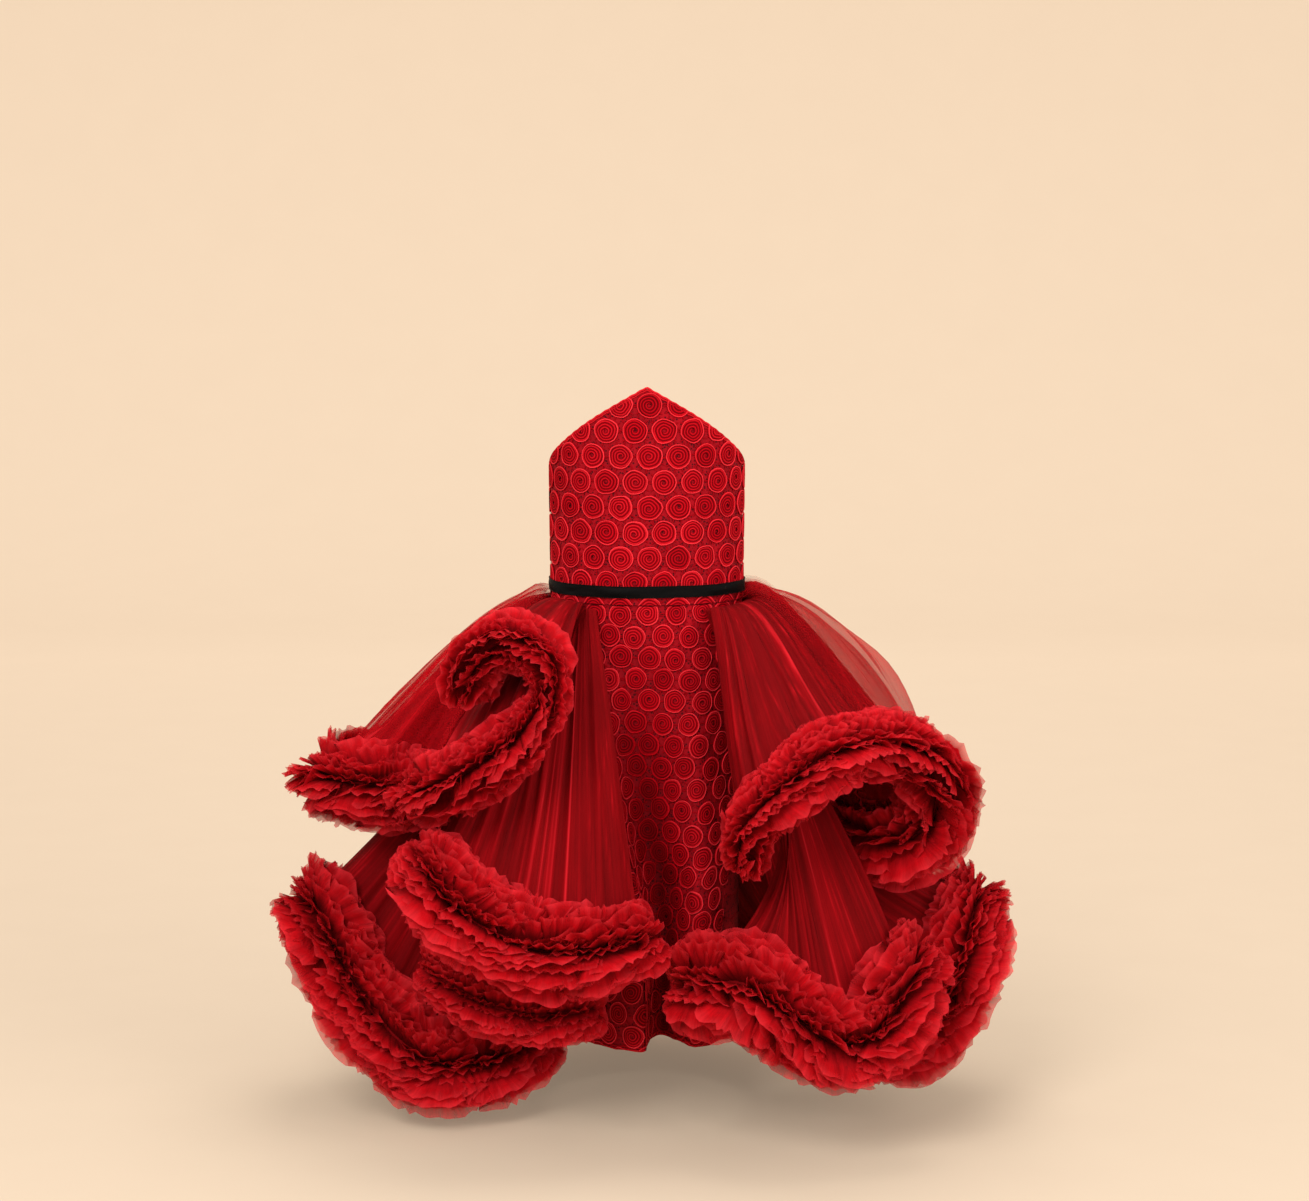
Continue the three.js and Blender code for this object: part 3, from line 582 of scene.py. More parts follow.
def fold_depth(x, height):
    left, right, depth = fold_row(height)
    across = np.clip((x - left) / (right - left), 0, 1)
    growth = depth / 28
    moved = 2.0 * depth * np.abs(np.sin(np.pi * across**0.55)) ** 1.15

    def bell(middle, half):
        return np.exp(-(((x - middle) / half) ** 2))

    moved -= 6 * growth * (bell(left - 9, 13) + bell(right + 9, 13))
    return moved + 9 * growth * bell(-57.7, 14)


def painted_fold_shade(grid):
    """The painted shade down in the skirt's fold: how deep in the fold each point lies, from 0 outside it
    to 1 at its bottom.
    """
    left, right, depth = fold_row(grid[..., 2])
    across = np.clip((grid[..., 0] - left - 9) / (right - left - 9), 0, 1)
    return depth / 28 * np.abs(np.sin(np.pi * across**0.55)) ** 2


class SkirtForm:
    """The lace skirt's face as a fine table: level by level, evenly along the cloth."""

    def __init__(self):
        self.heights = np.linspace(0, HEM_HEIGHT, 95)
        self.alongs = np.linspace(-330, 330, 441)
        self.half_round = []
        table = []
        for height in self.heights:
            down = height / HEM_HEIGHT
            across = mix(WAIST[0], HEM[0], down)
            deep = mix(WAIST[1], HEM[1], ease(down, 0.0, 1.0))
            angle = np.linspace(-np.pi, np.pi, 1441)
            x = across * np.sin(angle)
            y = -deep * np.cos(angle)
            front = np.cos(angle) > 0
            y = y + np.where(front, fold_depth(x, height) * ease(np.cos(angle), 0, 0.35), 0)
            arcs = np.concatenate([[0], np.cumsum(np.hypot(np.diff(x), np.diff(y)))])
            arcs -= arcs[720]
            self.half_round.append(arcs[-1])
            table.append(np.stack([np.interp(self.alongs, arcs, v) for v in (x, y)], -1))
        self.table = np.array(table)
        self.half_round = np.array(self.half_round)
        ahead = np.roll(self.table, -3, axis=1)
        behind = np.roll(self.table, 3, axis=1)
        ahead[:, -3:] = self.table[:, -1:]
        behind[:, :3] = self.table[:, :1]
        along = unit(ahead - behind)
        self.normals = np.stack([along[..., 1], -along[..., 0]], -1)

    def look_up(self, table, along, height):
        i = np.clip(height / HEM_HEIGHT, 0, 1) * (len(self.heights) - 1.001)
        j = (along - self.alongs[0]) / (self.alongs[1] - self.alongs[0])
        j = np.clip(j, 0, len(self.alongs) - 1.001)
        i0, j0 = i.astype(int), j.astype(int)
        u, v = (i - i0)[..., None], (j - j0)[..., None]
        top = mix(table[i0, j0], table[i0, j0 + 1], v)
        low = mix(table[i0 + 1, j0], table[i0 + 1, j0 + 1], v)
        return mix(top, low, u)

    def half_at(self, height):
        return np.interp(-height, -self.heights, self.half_round)

    def point(self, along, height, lift):
        flat = self.look_up(self.table, along, height)
        flat = flat + self.look_up(self.normals, along, height) * np.asarray(lift)[..., None]
        return np.concatenate([flat, (height + 0 * along)[..., None]], -1)


skirt_form = SkirtForm()

# Lace


# A lace disc: its radius in mm, the turns of its cord, the sides of its circle, and its bars
DISC = 13.0
TURNS = 3.5
DISC_SIDES = 18
BARS = 10


def corded_disc(cloth, place, along, height, rng, shape=(0.95, 1.04), size=1.0, painted_shade=None):
    """One lace motif: a cord wound in a spiral on a net disc, inside a thicker rim.
    place(along, height, lift) puts it on the form. Plain bars tie it to its neighbours.
    The last argument, given the points, tells how much painted shade darkens the cloth at each one, down
    in a fold."""
    turn = rng.uniform(0, 2 * np.pi)
    radius = DISC * size * rng.uniform(0.965, 1.015)
    squash = rng.uniform(*shape)
    spin = np.linspace(0, 1, DISC_SIDES + 1)[None, :]
    steps = np.arange(int(2 * TURNS) + 2)[:, None]
    inner, outer = 1.6, radius - 1.0
    wound = np.clip((steps + 2 * spin - 1) / (2 * TURNS), 0, 1)
    out = inner + (outer - inner) * wound
    raised = np.where(steps % 2 == 1, 1.0, 0.0) * np.ones_like(spin)
    raised = np.where(wound <= 0, 0.25, raised)
    raised = np.where(wound >= 1, 0.35, raised)
    angle = turn + 2 * np.pi * spin
    dome = 0.35 * (1 - (out / radius) ** 2)
    slip = rng.uniform(-1.1, 1.1, 2)
    wobble, lobes = rng.uniform(0.01, 0.035), rng.uniform(0, 2 * np.pi, 2)

    def at(out, angle, lift):
        lift = np.broadcast_to(lift, np.broadcast(out, angle).shape)
        inside = 1 - (out / radius) ** 2
        uneven = 1 + wobble * (np.sin(3 * angle + lobes[0]) + np.sin(5 * angle + lobes[1]))
        x = out * uneven * np.cos(angle) * squash + slip[0] * inside
        y = out * uneven * np.sin(angle) + slip[1] * inside
        return place(along + x, height + y, lift)

    tone = rng.uniform(-0.06, 0.08)
    cord = 0.2 + 1.1 * raised
    spot = np.array([along, height, 0.0]) + rng.uniform(0, 900, 3)

    def marks(out, angle):
        x = spot[0] + out * np.cos(angle)
        y = spot[1] + out * np.sin(angle)
        return np.stack([x, y, 0 * x + spot[2]], -1)

    # painted shade: the lace's colour is darkened where it lies down in the skirt's fold
    def darken_painted(grid, fold):
        return fold if painted_shade is None else fold * (1 - painted_shade(grid))

    # lighter on the cord's turns: partly the cord's own tone, partly painted highlight; tone differs at
    # random per disc
    face = at(out, angle, cord + dome)
    cloth.add(face, fold=darken_painted(face, 0.14 + 0.68 * raised + tone), cloth=marks(out, angle))
    round_rim = np.linspace(0, np.pi, 6)[:, None]
    rim = radius - 0.75 - 0.85 * np.cos(round_rim) + 0 * spin
    lift = 0.25 + 1.35 * np.sin(round_rim) + 0 * spin
    ring = at(rim, angle, lift)
    # the rim is lighter along its crest: painted highlight
    cloth.add(
        ring,
        fold=darken_painted(ring, 0.4 + (0.6 + tone) * np.sin(round_rim) + 0 * spin),
        cloth=marks(rim, angle),
    )
    for k in range(BARS):
        lean = 2 * np.pi * k / BARS + rng.uniform(-0.12, 0.12)
        reach = np.linspace(radius - 1.0, radius + rng.uniform(2.2, 4.6), 2)[None, :]
        side = np.array([-0.55, 0.0, 0.55])[:, None]
        x = reach * np.cos(lean) - side * np.sin(lean)
        y = reach * np.sin(lean) + side * np.cos(lean)
        lift = 0.35 + 0.35 * (side == 0) + 0 * reach
        cloth.add(
            place(along + x, height + y, lift),
            fold=0.5 + 0 * x,
            cloth=np.stack([x, y, 0 * x], -1),
        )


def cord_along(cloth, path, normals, thick, tone=0.75, sides=7):
    """A round cord on a line of points."""
    along = unit(np.gradient(path, axis=0))
    side = unit(np.cross(along, normals))
    angle = np.linspace(0, 2 * np.pi, sides)[:, None, None]
    ring = path + thick * (np.cos(angle) * side + np.sin(angle) * normals)
    length = np.concatenate([[0], np.cumsum(np.linalg.norm(np.diff(path, axis=0), axis=1))])
    mark = together(length[None, :], np.linspace(0, 4, sides)[:, None], np.zeros((1, 1)))
    cloth.add(ring, fold=tone + 0 * mark[..., 0], cloth=mark)


def shell(cloth, outside, inside, mark, painted_shade=None):
    """A thin closed shell from its two faces."""
    # painted shade: the outside face is darkened where it lies down in the skirt's fold
    light = 1.0 if painted_shade is None else 1 - painted_shade(outside)
    cloth.add(outside, fold=0.3 * light + 0 * mark[..., 0], cloth=mark)
    cloth.add(inside[:, ::-1], fold=0.3 + 0 * mark[..., 0], cloth=mark)
    for edge in (0, -1):
        rim = np.stack([outside[edge], inside[edge]])
        cloth.add(rim, fold=0.3 + 0 * rim[..., 0], cloth=0 * rim)
        rim = np.stack([outside[:, edge], inside[:, edge]])
        cloth.add(rim, fold=0.3 + 0 * rim[..., 0], cloth=0 * rim)


def build_bodice():
    rng = np.random.default_rng(11)
    quarter = BODICE_HALF / 2
    seam = -0.3
    parts = {
        "bodice_front": (-quarter + seam, quarter - seam, "bodice_front"),
        "bodice_back_left": (-BODICE_HALF + 0.5, -quarter, "bodice_back_left"),
        "bodice_back_right": (quarter, BODICE_HALF - 0.5, "bodice_back_right"),
    }
    rows = [(206.0 - ROW_HEIGHT * k, k % 2) for k in range(9)]
    for name, (low, high, node) in parts.items():
        lining = Cloth()
        columns = int((high - low) / 4.0)
        along = np.linspace(low, high, columns)[None, :]
        share = np.linspace(0, 1, 36)[:, None]
        top = neckline_height(along) - 0.6
        height = mix(0.4, top, share)
        along = along + 0 * height
        mark = np.stack([along, height, 0 * height], -1)
        soft = 0.25 * np.sin(along / 9.0) * np.sin(height / 13.0)
        outside = bodice_point(along, height, -0.7 + soft)
        inside = bodice_point(along, height, -1.6 + soft)
        shell(lining, outside, inside, mark)
        lining_piece = lining.piece(name + "_lining", LINING, "lace")
        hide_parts(node)

        lace = Cloth()

        def place(along, height, lift, low=low, high=high):
            along = np.clip(along, low, high)
            height = np.clip(height, 0.5, neckline_height(along) + 0.3)
            return bodice_point(along, height, lift)

        for height, odd in rows:
            for k in range(-10, 11):
                along = 3.0 + PITCH * (k + 0.5 * odd)
                if not low - 2 < along < high + 2:
                    continue
                if height - DISC > neckline_height(np.array(along)) - 3:
                    continue
                corded_disc(lace, place, along, height, rng)
        edge = np.linspace(low, high, 150)
        wave = 0.35 * np.sin(edge * 2 * np.pi / 9.0)
        path = bodice_point(edge, neckline_height(edge) + wave, 0.2 + 0 * edge)
        level = 0 * edge + 100
        normals = unit(bodice_point(edge, level, 5 + 0 * edge) - bodice_point(edge, level, 0 * edge))
        for drop, thick in ((0.0, 1.15), (2.3, 0.7)):
            cord_along(lace, path - [0, 0, drop], normals, thick, 0.8)
        lace_piece = lace.piece(name + "_lace", LACE, "lace")
        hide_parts(node)


def build_skirt():
    rng = np.random.default_rng(23)
    front_half = SKIRT_COLUMNS / 2 * PITCH
    row_height = (HEM_HEIGHT + 0.3) / SKIRT_ROWS
    heights = np.linspace(-0.3, HEM_HEIGHT, 80)[:, None]
    for name in ("skirt_front", "skirt_back_left", "skirt_back_right"):
        front = name == "skirt_front"
        share = np.linspace(0, 1, 76 if front else 36)[None, :]
        half = skirt_form.half_at(heights) - 0.5
        if front:
            along = mix(-front_half + 0.1, front_half - 0.1, share) + 0 * heights
        elif name.endswith("left"):
            along = mix(-half, -front_half - 0.2, share)
        else:
            along = mix(front_half + 0.2, half, share)
        height = heights + 0 * along
        mark = np.stack([along, height, 0 * height], -1)
        soft = 0.5 * np.sin(along / 11.0 + height / 60.0) * ease(-height, 20, 200)
        low = -0.8 if front else -0.2
        lining = Cloth()

        # painted shade down in the front's fold, on its lining and its lace discs
        def painted_shade(grid, front=front):
            return 0.58 * painted_fold_shade(grid) if front else 0.0

        shell(
            lining,
            skirt_form.point(along, height, low + soft),
            skirt_form.point(along, height, low - 1.0 + soft),
            mark,
            painted_shade,
        )
        lining_piece = lining.piece(name + "_lining", LINING, "lace")
        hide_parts(name)

        lace = Cloth()

        def place(along, height, lift, front=front):
            height = np.clip(height, HEM_HEIGHT + 0.4, -0.6)
            if front:
                along = np.clip(along, -front_half + 0.2, front_half - 0.2)
            return skirt_form.point(along, height, lift)

        if front:
            for row in range(SKIRT_ROWS + 1):
                for k in range(-5, 6):
                    middle = SKIRT_PITCH * (k + 0.5 * (row % 2)) + 2.0
                    if abs(middle) > front_half + 3:
                        continue
                    middle += rng.uniform(-1.6, 1.6)
                    level = -9.0 + row * row_height + rng.uniform(-1.6, 1.6)
                    corded_disc(lace, place, middle, level, rng, (0.86, 1.0), 0.96, painted_shade)
        ends = along[-1]
        edge = np.linspace(ends[0], ends[-1], 160)
        scallop = 1.1 * np.abs(np.sin(edge * np.pi / PITCH))
        bottom = HEM_HEIGHT + scallop
        path = skirt_form.point(edge, bottom, 0.2 + 0 * edge)
        above = skirt_form.point(edge, bottom, 5 + 0 * edge)
        normals = unit(above - skirt_form.point(edge, bottom, 0 * edge))
        cord_along(lace, path, normals, 1.1, 0.75)
        cord_along(lace, path + [0, 0, 3.0], normals, 0.7, 0.6)
        if not front:
            # the hidden back is finished plainly, with fine corded rows
            for z in np.arange(-24, HEM_HEIGHT + 10, -24.0):
                ends = [np.interp(-z, -heights[:, 0], along[:, side]) for side in (0, -1)]
                edge = np.linspace(*ends, 90)
                line = z + 1.5 * np.sin(edge * 2 * np.pi / PITCH)
                path = skirt_form.point(edge, line, 0.1 + 0 * edge)
                normals = unit(skirt_form.point(edge, line, 5 + 0 * edge) - path)
                cord_along(lace, path, normals, 0.55, 0.5, sides=5)
        lace_piece = lace.piece(name + "_lace", LACE, "lace")
        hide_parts(name)


def build_belt():
    cloth = Cloth()
    angle = np.linspace(-np.pi + 0.006, np.pi - 0.006, 260)[None, :]
    share = np.linspace(0, 1, 9)[:, None]
    around = angle * 90
    sag = 0.5 * np.sin(angle * 3 + 0.6) + 0.3 * np.sin(angle * 7)
    height = mix(8.0, 20.0, share) + sag * 0.6
    roll = 0.35 * np.sin(np.pi * share) + 0.25 * np.sin(around / 17) * np.cos(2 * np.pi * share)
    pinch = 0.5 * np.exp(-(((around + 78) / 5.0) ** 2)) * np.cos(3 * np.pi * share)
    lift = 2.6 + roll + pinch
    outside = on_ellipse(WAIST[0], WAIST[1], angle + 0 * share, height, lift)
    inside = on_ellipse(WAIST[0], WAIST[1], angle + 0 * share, height, lift - 0.7)
    mark = together(around, height, np.zeros((1, 1)))
    shell(cloth, outside, inside, mark)
    for level in (8.3, 19.7):
        line = level + sag[0] * 0.6
        path = on_ellipse(WAIST[0], WAIST[1], angle[0], line, 2.75 + 0.25 * np.sin(around[0] / 17))
        normals = unit(path * [1, 1, 0])
        cord_along(cloth, path, normals, 0.42, 0.3, sides=6)
    belt = cloth.piece("ribbon_belt", RIBBON, "ribbon")
    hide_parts("belt")


# The spacing of the zip's teeth, in mm
TOOTH = 1.5


def build_zip():
    """Coil teeth down the centre back opening, and a better finish on the slider and pull."""
    teeth = Cloth()
    for side in (-1, 1):
        for z in np.arange(3.0, 121.0, TOOTH):
            _, deep = bodice_size(z)
            shift = 0.35 if side > 0 else -0.35
            path = np.array(
                [
                    [side * 1.9, deep - 0.2, z + shift],
                    [side * 1.2, deep + 0.35, z + shift],
                    [side * 0.15, deep + 0.35, z + shift],
                    [side * -0.2, deep - 0.1, z + shift],
                ]
            )
            cord_along(teeth, path, np.tile([0, 0.0, 1.0], (4, 1)), 0.33, 0.4, sides=5)
    piece = teeth.piece("zip_coil", ZIP, "zip")
    tape = Cloth()
    z = np.linspace(1, 122, 60)[:, None]
    x = np.linspace(-4.5, 4.5, 7)[None, :]
    _, deep = bodice_size(z)
    face = together(x, deep - 2.2 - 0.004 * x * x, z)
    mark = face[..., [0, 2, 1]]
    shell(tape, face, face - [0, 0.5, 0], mark)
    tape_piece = tape.piece("zip_tape", LINING, "lace")
    for node in ("zip_slider", "zip_pull"):
        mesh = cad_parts[node].data
        mesh.materials.clear()
        mesh.materials.append(ZIP)


# Tulle


class Hem:
    """A flounce's hem: a smooth curve through its knots, and what hangs from the waist to it."""

    def __init__(self, flounce):
        rows = np.array(flounce["hem"], float)
        knots = rows[:, :3]
        far = np.vstack([2 * knots[0] - knots[1], knots, 2 * knots[-1] - knots[-2]])
        per = 80
        points, places = [], []
        for i in range(len(knots) - 1):
            p0, p1, p2, p3 = far[i : i + 4]
            pairs = ((p0, p1), (p1, p2), (p2, p3))
            d0, d1, d2 = (float(np.sum((b - a) ** 2)) ** 0.25 for a, b in pairs)
            t1 = ((p1 - p0) / d0 - (p2 - p0) / (d0 + d1) + (p2 - p1) / d1) * d1
            t2 = ((p2 - p1) / d1 - (p3 - p1) / (d1 + d2) + (p3 - p2) / d2) * d1
            w = (np.arange(per + (i == len(knots) - 2)) / per)[:, None]
            square = (-3 * p1 + 3 * p2 - 2 * t1 - t2) * w**2
            points.append(p1 + t1 * w + square + (2 * p1 - 2 * p2 + t1 + t2) * w**3)
            places.append(i + w[:, 0])
        self.points = np.concatenate(points)
        self.knot = np.concatenate(places)
        steps = np.linalg.norm(np.diff(self.points, axis=0), axis=1)
        self.arc = np.concatenate([[0], np.cumsum(steps)])
        self.length = self.arc[-1]
        self.radii = rows[:, 3]
        self.flounce = flounce
        self.count = round(self.length / WAVE)

    def at(self, share):
        arc = np.clip(share, 0, 1) * self.length
        return np.stack([np.interp(arc, self.arc, self.points[:, i]) for i in range(3)], -1)

    def radius(self, share):
        knot = np.interp(np.clip(share, 0, 1) * self.length, self.arc, self.knot)
        return np.interp(knot, np.arange(len(self.radii)), self.radii)

    def share_of(self, knot):
        """The share of the hem at a knot, at the nearest whole wave, as the part's pieces end."""
        arc = np.interp(np.arange(self.count + 1) / self.count * self.length, self.arc, self.knot)
        return int(np.argmin(np.abs(arc - knot))) / self.count

    def fall(self, share, down):
        """The tulle's middle at a share of the hem and a share of the way down."""
        start, end = (math.radians(v) for v in self.flounce["waist"])
        angle = mix(start, end, share)
        front, back, top = LAYER[self.flounce["layer"]]
        off = mix(front, back, ease(np.abs(angle), MIDDLE_ENDS, MIDDLE_ENDS + 0.2))
        waist = on_ellipse(WAIST[0], WAIST[1], angle, top, off)
        hem = self.at(share)
        out = down ** self.flounce["flare"]
        point = np.stack(
            [
                mix(waist[..., 0], hem[..., 0], out),
                mix(waist[..., 1], hem[..., 1], out),
                mix(waist[..., 2], hem[..., 2], down),
            ],
            -1,
        )
        bellies = np.array(self.flounce["belly"], float)
        belly = np.stack([np.interp(share, [0, 0.5, 1], bellies[:, i]) for i in range(3)], -1)
        return point + belly * (9.48 * down * (1 - down) ** 3)[..., None]

    def spine(self, share):
        """The ruffle's spine: its place, its direction, up the cloth, and across both."""
        reach = 12.0 / self.length
        along = unit(self.at(share + reach) - self.at(share - reach))
        up = 0
        for shift in (-0.8, -0.4, 0.0, 0.4, 0.8):
            near = np.clip(share + shift * WAVE / self.length, 0, 1)
            up = up + unit(self.fall(near, 0.765 + 0 * near) - self.at(near))
        up = unit(up - along * np.sum(up * along, -1, keepdims=True))
        across = unit(np.cross(along, up))
        return self.at(share) - RUFFLE_DROP * up, along, up, across


# A frill: the length of a pleat and of a petal, and where its layers start, in mm
PLEAT = 7.0
PLEAT_COLUMNS = 4
PETAL = 37.0
CORE = 2.6
# The rows of points from the stitching out to the edge, of long layers and of short ones. A
# layer is sheer beyond SHEER of its reach, and long where its reach is over LONG.
FRILL_ROWS = np.array([0.0, 0.3, 0.55, 0.76, 0.9, 1.0])
SHORT_ROWS = np.array([0.0, 0.45, 0.8, 1.0])
SHEER = 0.7
LONG = 0.82
CAP_LEAN = math.radians(82)
# The layers of a frill: how far each opens from the cloth above it, in degrees, and its reach as a
# share of the ruffle's radius. They stand in a fan above the stitching and one below it, with
# short ones between them. Negative ones are behind the cloth.
FANS = [
    (12, 0.97), (25, 0.98), (39, 0.91), (54, 0.8), (71, 0.68), (91, 0.6), (109, 0.68), (125, 0.81),
    (141, 0.93), (156, 0.99), (172, 0.95),
    (-35, 0.92), (-62, 0.86), (-90, 0.8), (-118, 0.86), (-145, 0.95), (-168, 0.95),
]


def frill_strip(cloth, hem, low, high, caps, facing, rng):
    """Layers of gathered tulle along the spine from share low to high. Each rises from the
    stitching and curls over to one side in petals of fine pleats. caps is as in FLOUNCES, and 0
    where the next strip goes on."""
    starts = [1.25 * hem.radius(np.array(s)) * cap for s, cap in zip((low, high), caps)]
    length = (high - low) * hem.length
    step = PLEAT / PLEAT_COLUMNS
    count = int((length + starts[0] + starts[1]) / step) + 1
    place = np.linspace(-starts[0], length + starts[1], count)
    for layer, (tip, full) in enumerate(FANS):
        rho = (FRILL_ROWS if full > LONG else SHORT_ROWS)[:, None]
        side, opening = np.sign(tip) * facing, math.radians(abs(tip))
        rise = math.pi / 2 + 0.5 * (opening - math.pi / 2)
        fine = 2 * np.pi * place / PLEAT * rng.uniform(0.9, 1.1) + 1.6 * wander(place, rng, 60, 3)
        petals = place / PETAL * rng.uniform(0.8, 1.25) + 0.35 * wander(place, rng, 110, 3) + 40
        part = petals - np.floor(petals)
        own = rng.uniform(-1, 1, (3, 200))[:, np.floor(petals).astype(int) % 200]
        fan = np.where(part < 0.86, part / 0.86, (1 - part) / 0.14) * 2 - 1
        spikes = place / 9.0 * rng.uniform(0.8, 1.2) + 0.8 * wander(place, rng, 45, 3)
        spikes = np.abs(2 * (spikes - np.floor(spikes)) - 1)
        ragged = 0.15 * own[0] + 0.12 * (spikes - 0.5) - 0.24 * np.abs(2 * part - 1) ** 5
        reach = np.clip(full + 0.04 + ragged, 0.3, 1.16)
        lean = 0.5 * fan + 0.22 * own[1]
        drift = 0.12 * wander(place, rng, 110, 3)
        petal = 0.3 * own[2] + 0.2 * fan
        inside = np.clip(place + 0 * rho, 0, length)
        share = low + inside / hem.length
        centre, along, up, across = hem.spine(share)
        radius = hem.radius(share) * reach
        angle = mix(rise, opening, rho**0.8) + (drift + petal) * rho**0.8
        angle = side * (angle + 2.4 / radius * rho**0.6 * np.sin(fine))
        before = np.clip(-place / max(starts[0], 1), 0, 1)
        beyond = np.clip((place - length) / max(starts[1], 1), 0, 1)
        tilt = lean * rho**0.5 + (beyond - before) * CAP_LEAN
        squeeze = 1 - (1 - max(caps[0], 0.35)) * before - (1 - max(caps[1], 0.35)) * beyond
        out = mix(CORE, radius * squeeze, rho)
        radial = np.cos(angle)[..., None] * up + np.sin(angle)[..., None] * across
        direction = np.cos(tilt)[..., None] * radial + np.sin(tilt)[..., None] * along
        grid = centre + out[..., None] * direction
        # painted shade and highlight: darker towards the stitching, lighter at the cut tips and on the
        # pleat ridges; own and wander add random tone
        edge = ease(rho, 0.88, 1.0)
        crease = np.clip(0.5 + 0.5 * np.sin(fine), 0, 1) ** 2
        fold = 0.66 * np.clip((rho - 0.35) / 0.65, 0, 1) ** 1.3 + 0.12 * edge
        fold = fold + 0.24 * crease * rho + 0.08 * own[0] + 0.06 * wander(place, rng, 45, 2)
        mark = together(place + 137.0 * layer, rho * 45, np.array([[layer * 3.7]]))
        veil = 1.0 - 0.4 * ease(rho, 0.72, 1.0) + 0 * place
        second = rho[:-1, 0] > SHEER
        cloth.add(grid, second, fold=np.clip(fold, 0, 1), cloth=mark, veil=veil)
    # the stitched gathers at the root, a thick uneven cord, painted near the shade end of the colours
    inside = np.linspace(0, length, int(length / 2.0) + 2)
    centre, along, up, across = hem.spine(low + inside / hem.length)
    turn = np.linspace(0, 2 * np.pi, 13)[:, None, None]
    thick = (6.0 + 1.2 * np.sin(6 * turn[..., 0] + inside / 3.0))[..., None]
    ring = centre + thick * (np.cos(turn) * up + np.sin(turn) * across)
    mark = together(inside, turn[..., 0] * 6, np.zeros((1, 1)))
    cloth.add(ring, fold=0.1 + 0 * mark[..., 0], cloth=mark, veil=1 + 0 * mark[..., 0])


def build_frills(hem):
    flounce = hem.flounce
    last = len(flounce["strips"]) - 1
    low = 0.0
    for i, (name, knot) in enumerate(flounce["strips"]):
        high = hem.share_of(knot)
        rng = np.random.default_rng(sum(ord(c) * (k + 3) for k, c in enumerate(name)))
        cloth = Cloth()
        caps = (flounce["caps"][0] if i == 0 else 0.0, flounce["caps"][1] if i == last else 0.0)
        facing = -1.0 if flounce["waist"][1] < 0 else 1.0
        frill_strip(cloth, hem, low, high, caps, facing, rng)
        piece = cloth.piece(
            "frill_" + name.replace("ruffle_", ""), [FRILL_TULLE, FRILL_EDGE], "tulle"
        )
        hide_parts(name)
        radius = float(np.mean(hem.radius(np.linspace(low, high, 20))))
        low = high


def pleats(place, rng, period, sharp):
    """An uneven row of soft creases along a length: 0 in the hollows, 1 on the ridges."""
    phase = place / period + 0.9 * wander(place, rng, period * 5, 3)
    saw = np.abs(2 * (phase - np.floor(phase)) - 1)
    return saw**sharp


def build_nets(hem):
    flounce = hem.flounce
    low = 0.0
    facing = 1.0 if flounce["waist"][1] < 0 else -1.0
    for name, knot in flounce["panels"]:
        high = hem.share_of(knot)
        rng = np.random.default_rng(sum(ord(c) * (k + 5) for k, c in enumerate(name)))
        length = (high - low) * hem.length
        columns = int(length / 2.7) + 2
        share = np.linspace(low, high, columns)[None, :]
        down = (np.linspace(0, 1, 21) ** 1.25)[:, None]
        place = (share - low) * hem.length
        base = hem.fall(share + 0 * down, down + 0 * share)
        along = np.gradient(base, axis=1)
        fall = np.gradient(base, axis=0)
        normal = unit(np.cross(along, fall)) * facing
        room = np.linalg.norm(along, axis=-1) / (length / columns)
        bell = np.sin(np.pi * np.clip(down, 0, 1)) ** 0.9
        cloth = Cloth()
        sheer = flounce["sheer"]
        sway = wander(place * 0.6, rng, 180, 2)
        big = pleats(place + 16 * sway * down, rng, 38.0, 1.5)
        sheets = (-2.2, 0.0, 2.2) + ((5.0, 7.5) if sheer else ())
        for layer, off in enumerate(sheets):
            slip = wander(place * 0.6, rng, 180, 2)
            small = pleats(place + 34 * slip * down, rng, rng.uniform(11, 15), 1.4)
            line = pleats(place + 60 * slip * down, rng, rng.uniform(19, 26), 1.0)
            size = np.clip(room, 0.12, 1.0) * (0.25 + 0.75 * bell)
            lift = off + size * (8.0 * (big - 0.4) + 1.2 * (small - 0.5))
            lift = lift + 2.5 * np.sin(np.pi * down) ** 1.4
            # painted highlight on the pleat ridges and on thin lines that no pleat shapes, painted shade
            # in the hollows; wander adds random tone
            fold = 0.2 + 0.24 * big**2 + 0.3 * small**7 + 0.5 * line**14
            fold = fold + 0.1 * wander(place, rng, 60, 3)
            veil = 1.0 + 0 * place
            second, rise = None, 0.0
            if sheer:
                middle, half, least, puff = sheer
                near = np.exp(-(((share - middle) / half) ** 2))
                veil = 1 - (1 - least) * np.exp(-(((share - middle) / (0.6 * half)) ** 2))
                if layer > 2:
                    # the loose outer nets stand away at the side and puff up over the waist
                    second = np.ones(len(down) - 1, int)
                    loose = 1.0 if layer == 4 else 0.6
                    sag = 3.5 * wander(place + 90 * down, rng, 70, 3)
                    out = np.sin(np.pi * down**1.35) ** 1.2
                    lift = lift + near * loose * (puff + sag) * out
                    rise = 9.0 * loose * near * np.exp(-(((down - 0.05) / 0.05) ** 2))
                    veil = np.clip((near - 0.4) / 0.5, 0, 1)
            mark = together(place + 311.0 * layer, down * 220, np.array([[layer * 5.1]]))
            grid = base + lift[..., None] * normal
            grid[..., 2] += rise
            if flounce["pinch"]:
                # the front edge is caught under the ruffle above and fans out from there
                drawn = np.sin(np.pi * down**1.4) * np.exp(-((share / 0.3) ** 2))
                grid[..., 0] += flounce["pinch"] * drawn
            cloth.add(
                grid, second, fold=np.clip(fold + 0 * down, 0, 1), cloth=mark, veil=veil + 0 * down
            )
        piece = cloth.piece(
            "net_" + name.replace("tulle_", ""), [SHEET_TULLE, VEIL_TULLE], "tulle"
        )
        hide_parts(name)
        low = high


# Studio


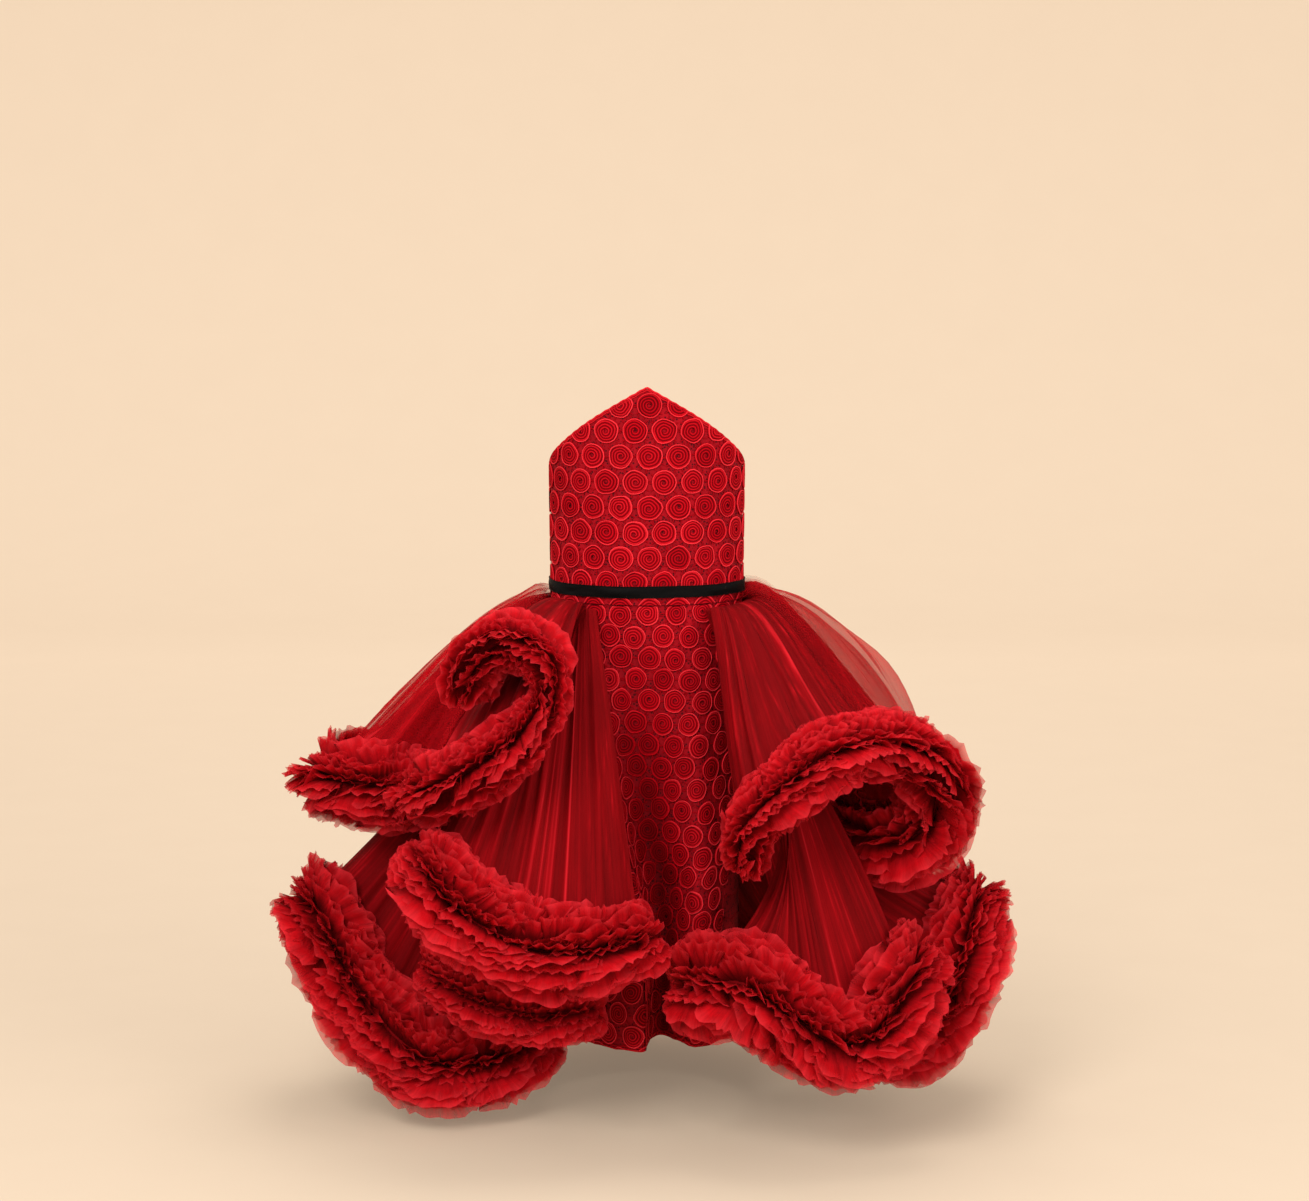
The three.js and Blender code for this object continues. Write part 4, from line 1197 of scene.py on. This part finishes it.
def build_studio():
    n = Nodes("paper_sweep")
    place = n.new("ShaderNodeTexCoord").outputs["Object"]
    grain = n.noise(n.stretch(place, (9, 9, 9)), 1.0, 5.0)
    color = n.ramp(grain, [(0.2, (0.355, 0.284, 0.213)), (0.8, (0.365, 0.293, 0.22))])
    depth = n.new("ShaderNodeSeparateXYZ", {"Vector": place}).outputs["Y"]
    # painted light: the sweep glows a little, more towards the back wall, to lighten its shadows; it
    # lights nothing else
    away = n.math("MULTIPLY", n.math("ADD", depth, -0.3), 0.37, clamp=True)
    glow = n.math("ADD", n.math("MULTIPLY", away, 0.25), 0.2)
    warm = (0.93, 0.72, 0.52, 1.0)
    surface = n.surface(color, 0.9, 0.1, Emission_Color=warm, Emission_Strength=glow)
    sweep_material = n.finish(surface)
    sweep_material.cycles.emission_sampling = "NONE"
    # the floor's height, the wall's distance and the radius of the bend between them, in metres
    floor = -0.548
    back = 5.2
    bend = 1.8
    profile = [(-back, floor), (back - bend, floor)]
    profile += [
        (back - bend + bend * math.sin(a), floor + bend - bend * math.cos(a))
        for a in np.linspace(0, math.pi / 2, 20)[1:]
    ]
    profile += [(back, 5.0)]
    points = [(x, y, z) for y, z in profile for x in (-6.0, 6.0)]
    faces = [(2 * i, 2 * i + 1, 2 * i + 3, 2 * i + 2) for i in range(len(profile) - 1)]
    mesh = bpy.data.meshes.new("sweep")
    mesh.from_pydata(points, [], faces)
    mesh.polygons.foreach_set("use_smooth", [True] * len(mesh.polygons))
    mesh.materials.append(sweep_material)
    sweep = bpy.data.objects.new("sweep", mesh)
    bpy.context.scene.collection.objects.link(sweep)

    def area_light(name, place, aim, size, power, color):
        light = bpy.data.lights.new(name, "AREA")
        light.shape = "DISK"
        light.size = size
        light.energy = power
        light.color = color
        thing = bpy.data.objects.new(name, light)
        thing.location = place
        direction = Vector(aim) - Vector(place)
        thing.rotation_euler = direction.to_track_quat("-Z", "Y").to_euler()
        bpy.context.scene.collection.objects.link(thing)

    area_light("key", (-1.0, -3.0, 2.0), (0, 0, -0.15), 1.7, 120, (1.0, 0.98, 0.96))
    area_light("fill", (2.2, -2.5, 0.9), (0, 0, -0.2), 2.2, 60, (1.0, 0.98, 0.96))
    area_light("top", (0.2, 0.4, 2.8), (0, 0.1, -0.2), 2.0, 50, (1.0, 0.98, 0.96))

    world = bpy.data.worlds.new("studio")
    bpy.context.scene.world = world
    world.use_nodes = True
    background = world.node_tree.nodes["Background"]
    background.inputs["Color"].default_value = (1.0, 0.97, 0.93, 1.0)
    background.inputs["Strength"].default_value = 1.2
    light_paths = bpy.context.scene.cycles
    light_paths.max_bounces = 4
    light_paths.diffuse_bounces = 3
    light_paths.glossy_bounces = 1
    light_paths.transmission_bounces = 3
    light_paths.transparent_max_bounces = 9
    view = bpy.context.scene.view_settings
    view.view_transform = "Standard"
    view.look = "None"
    view.exposure = 0.0


def build_camera():
    data = bpy.data.cameras.new("camera")
    data.sensor_fit = "HORIZONTAL"
    data.sensor_width = 36.0
    data.lens = 83.81
    camera = bpy.data.objects.new("camera", data)
    camera.location = (0.008, -3.1689, 0.4404)
    aim = Vector((0.008, 0.0, -0.005)) - Vector(camera.location)
    camera.rotation_euler = aim.to_track_quat("-Z", "Y").to_euler()
    bpy.context.scene.collection.objects.link(camera)
    bpy.context.scene.camera = camera


build_camera()
build_studio()
build_bodice()
build_belt()
build_skirt()
build_zip()
for flounce in FLOUNCES:
    hem = Hem(flounce)
    build_nets(hem)
    build_frills(hem)

bpy.context.view_layer.update()
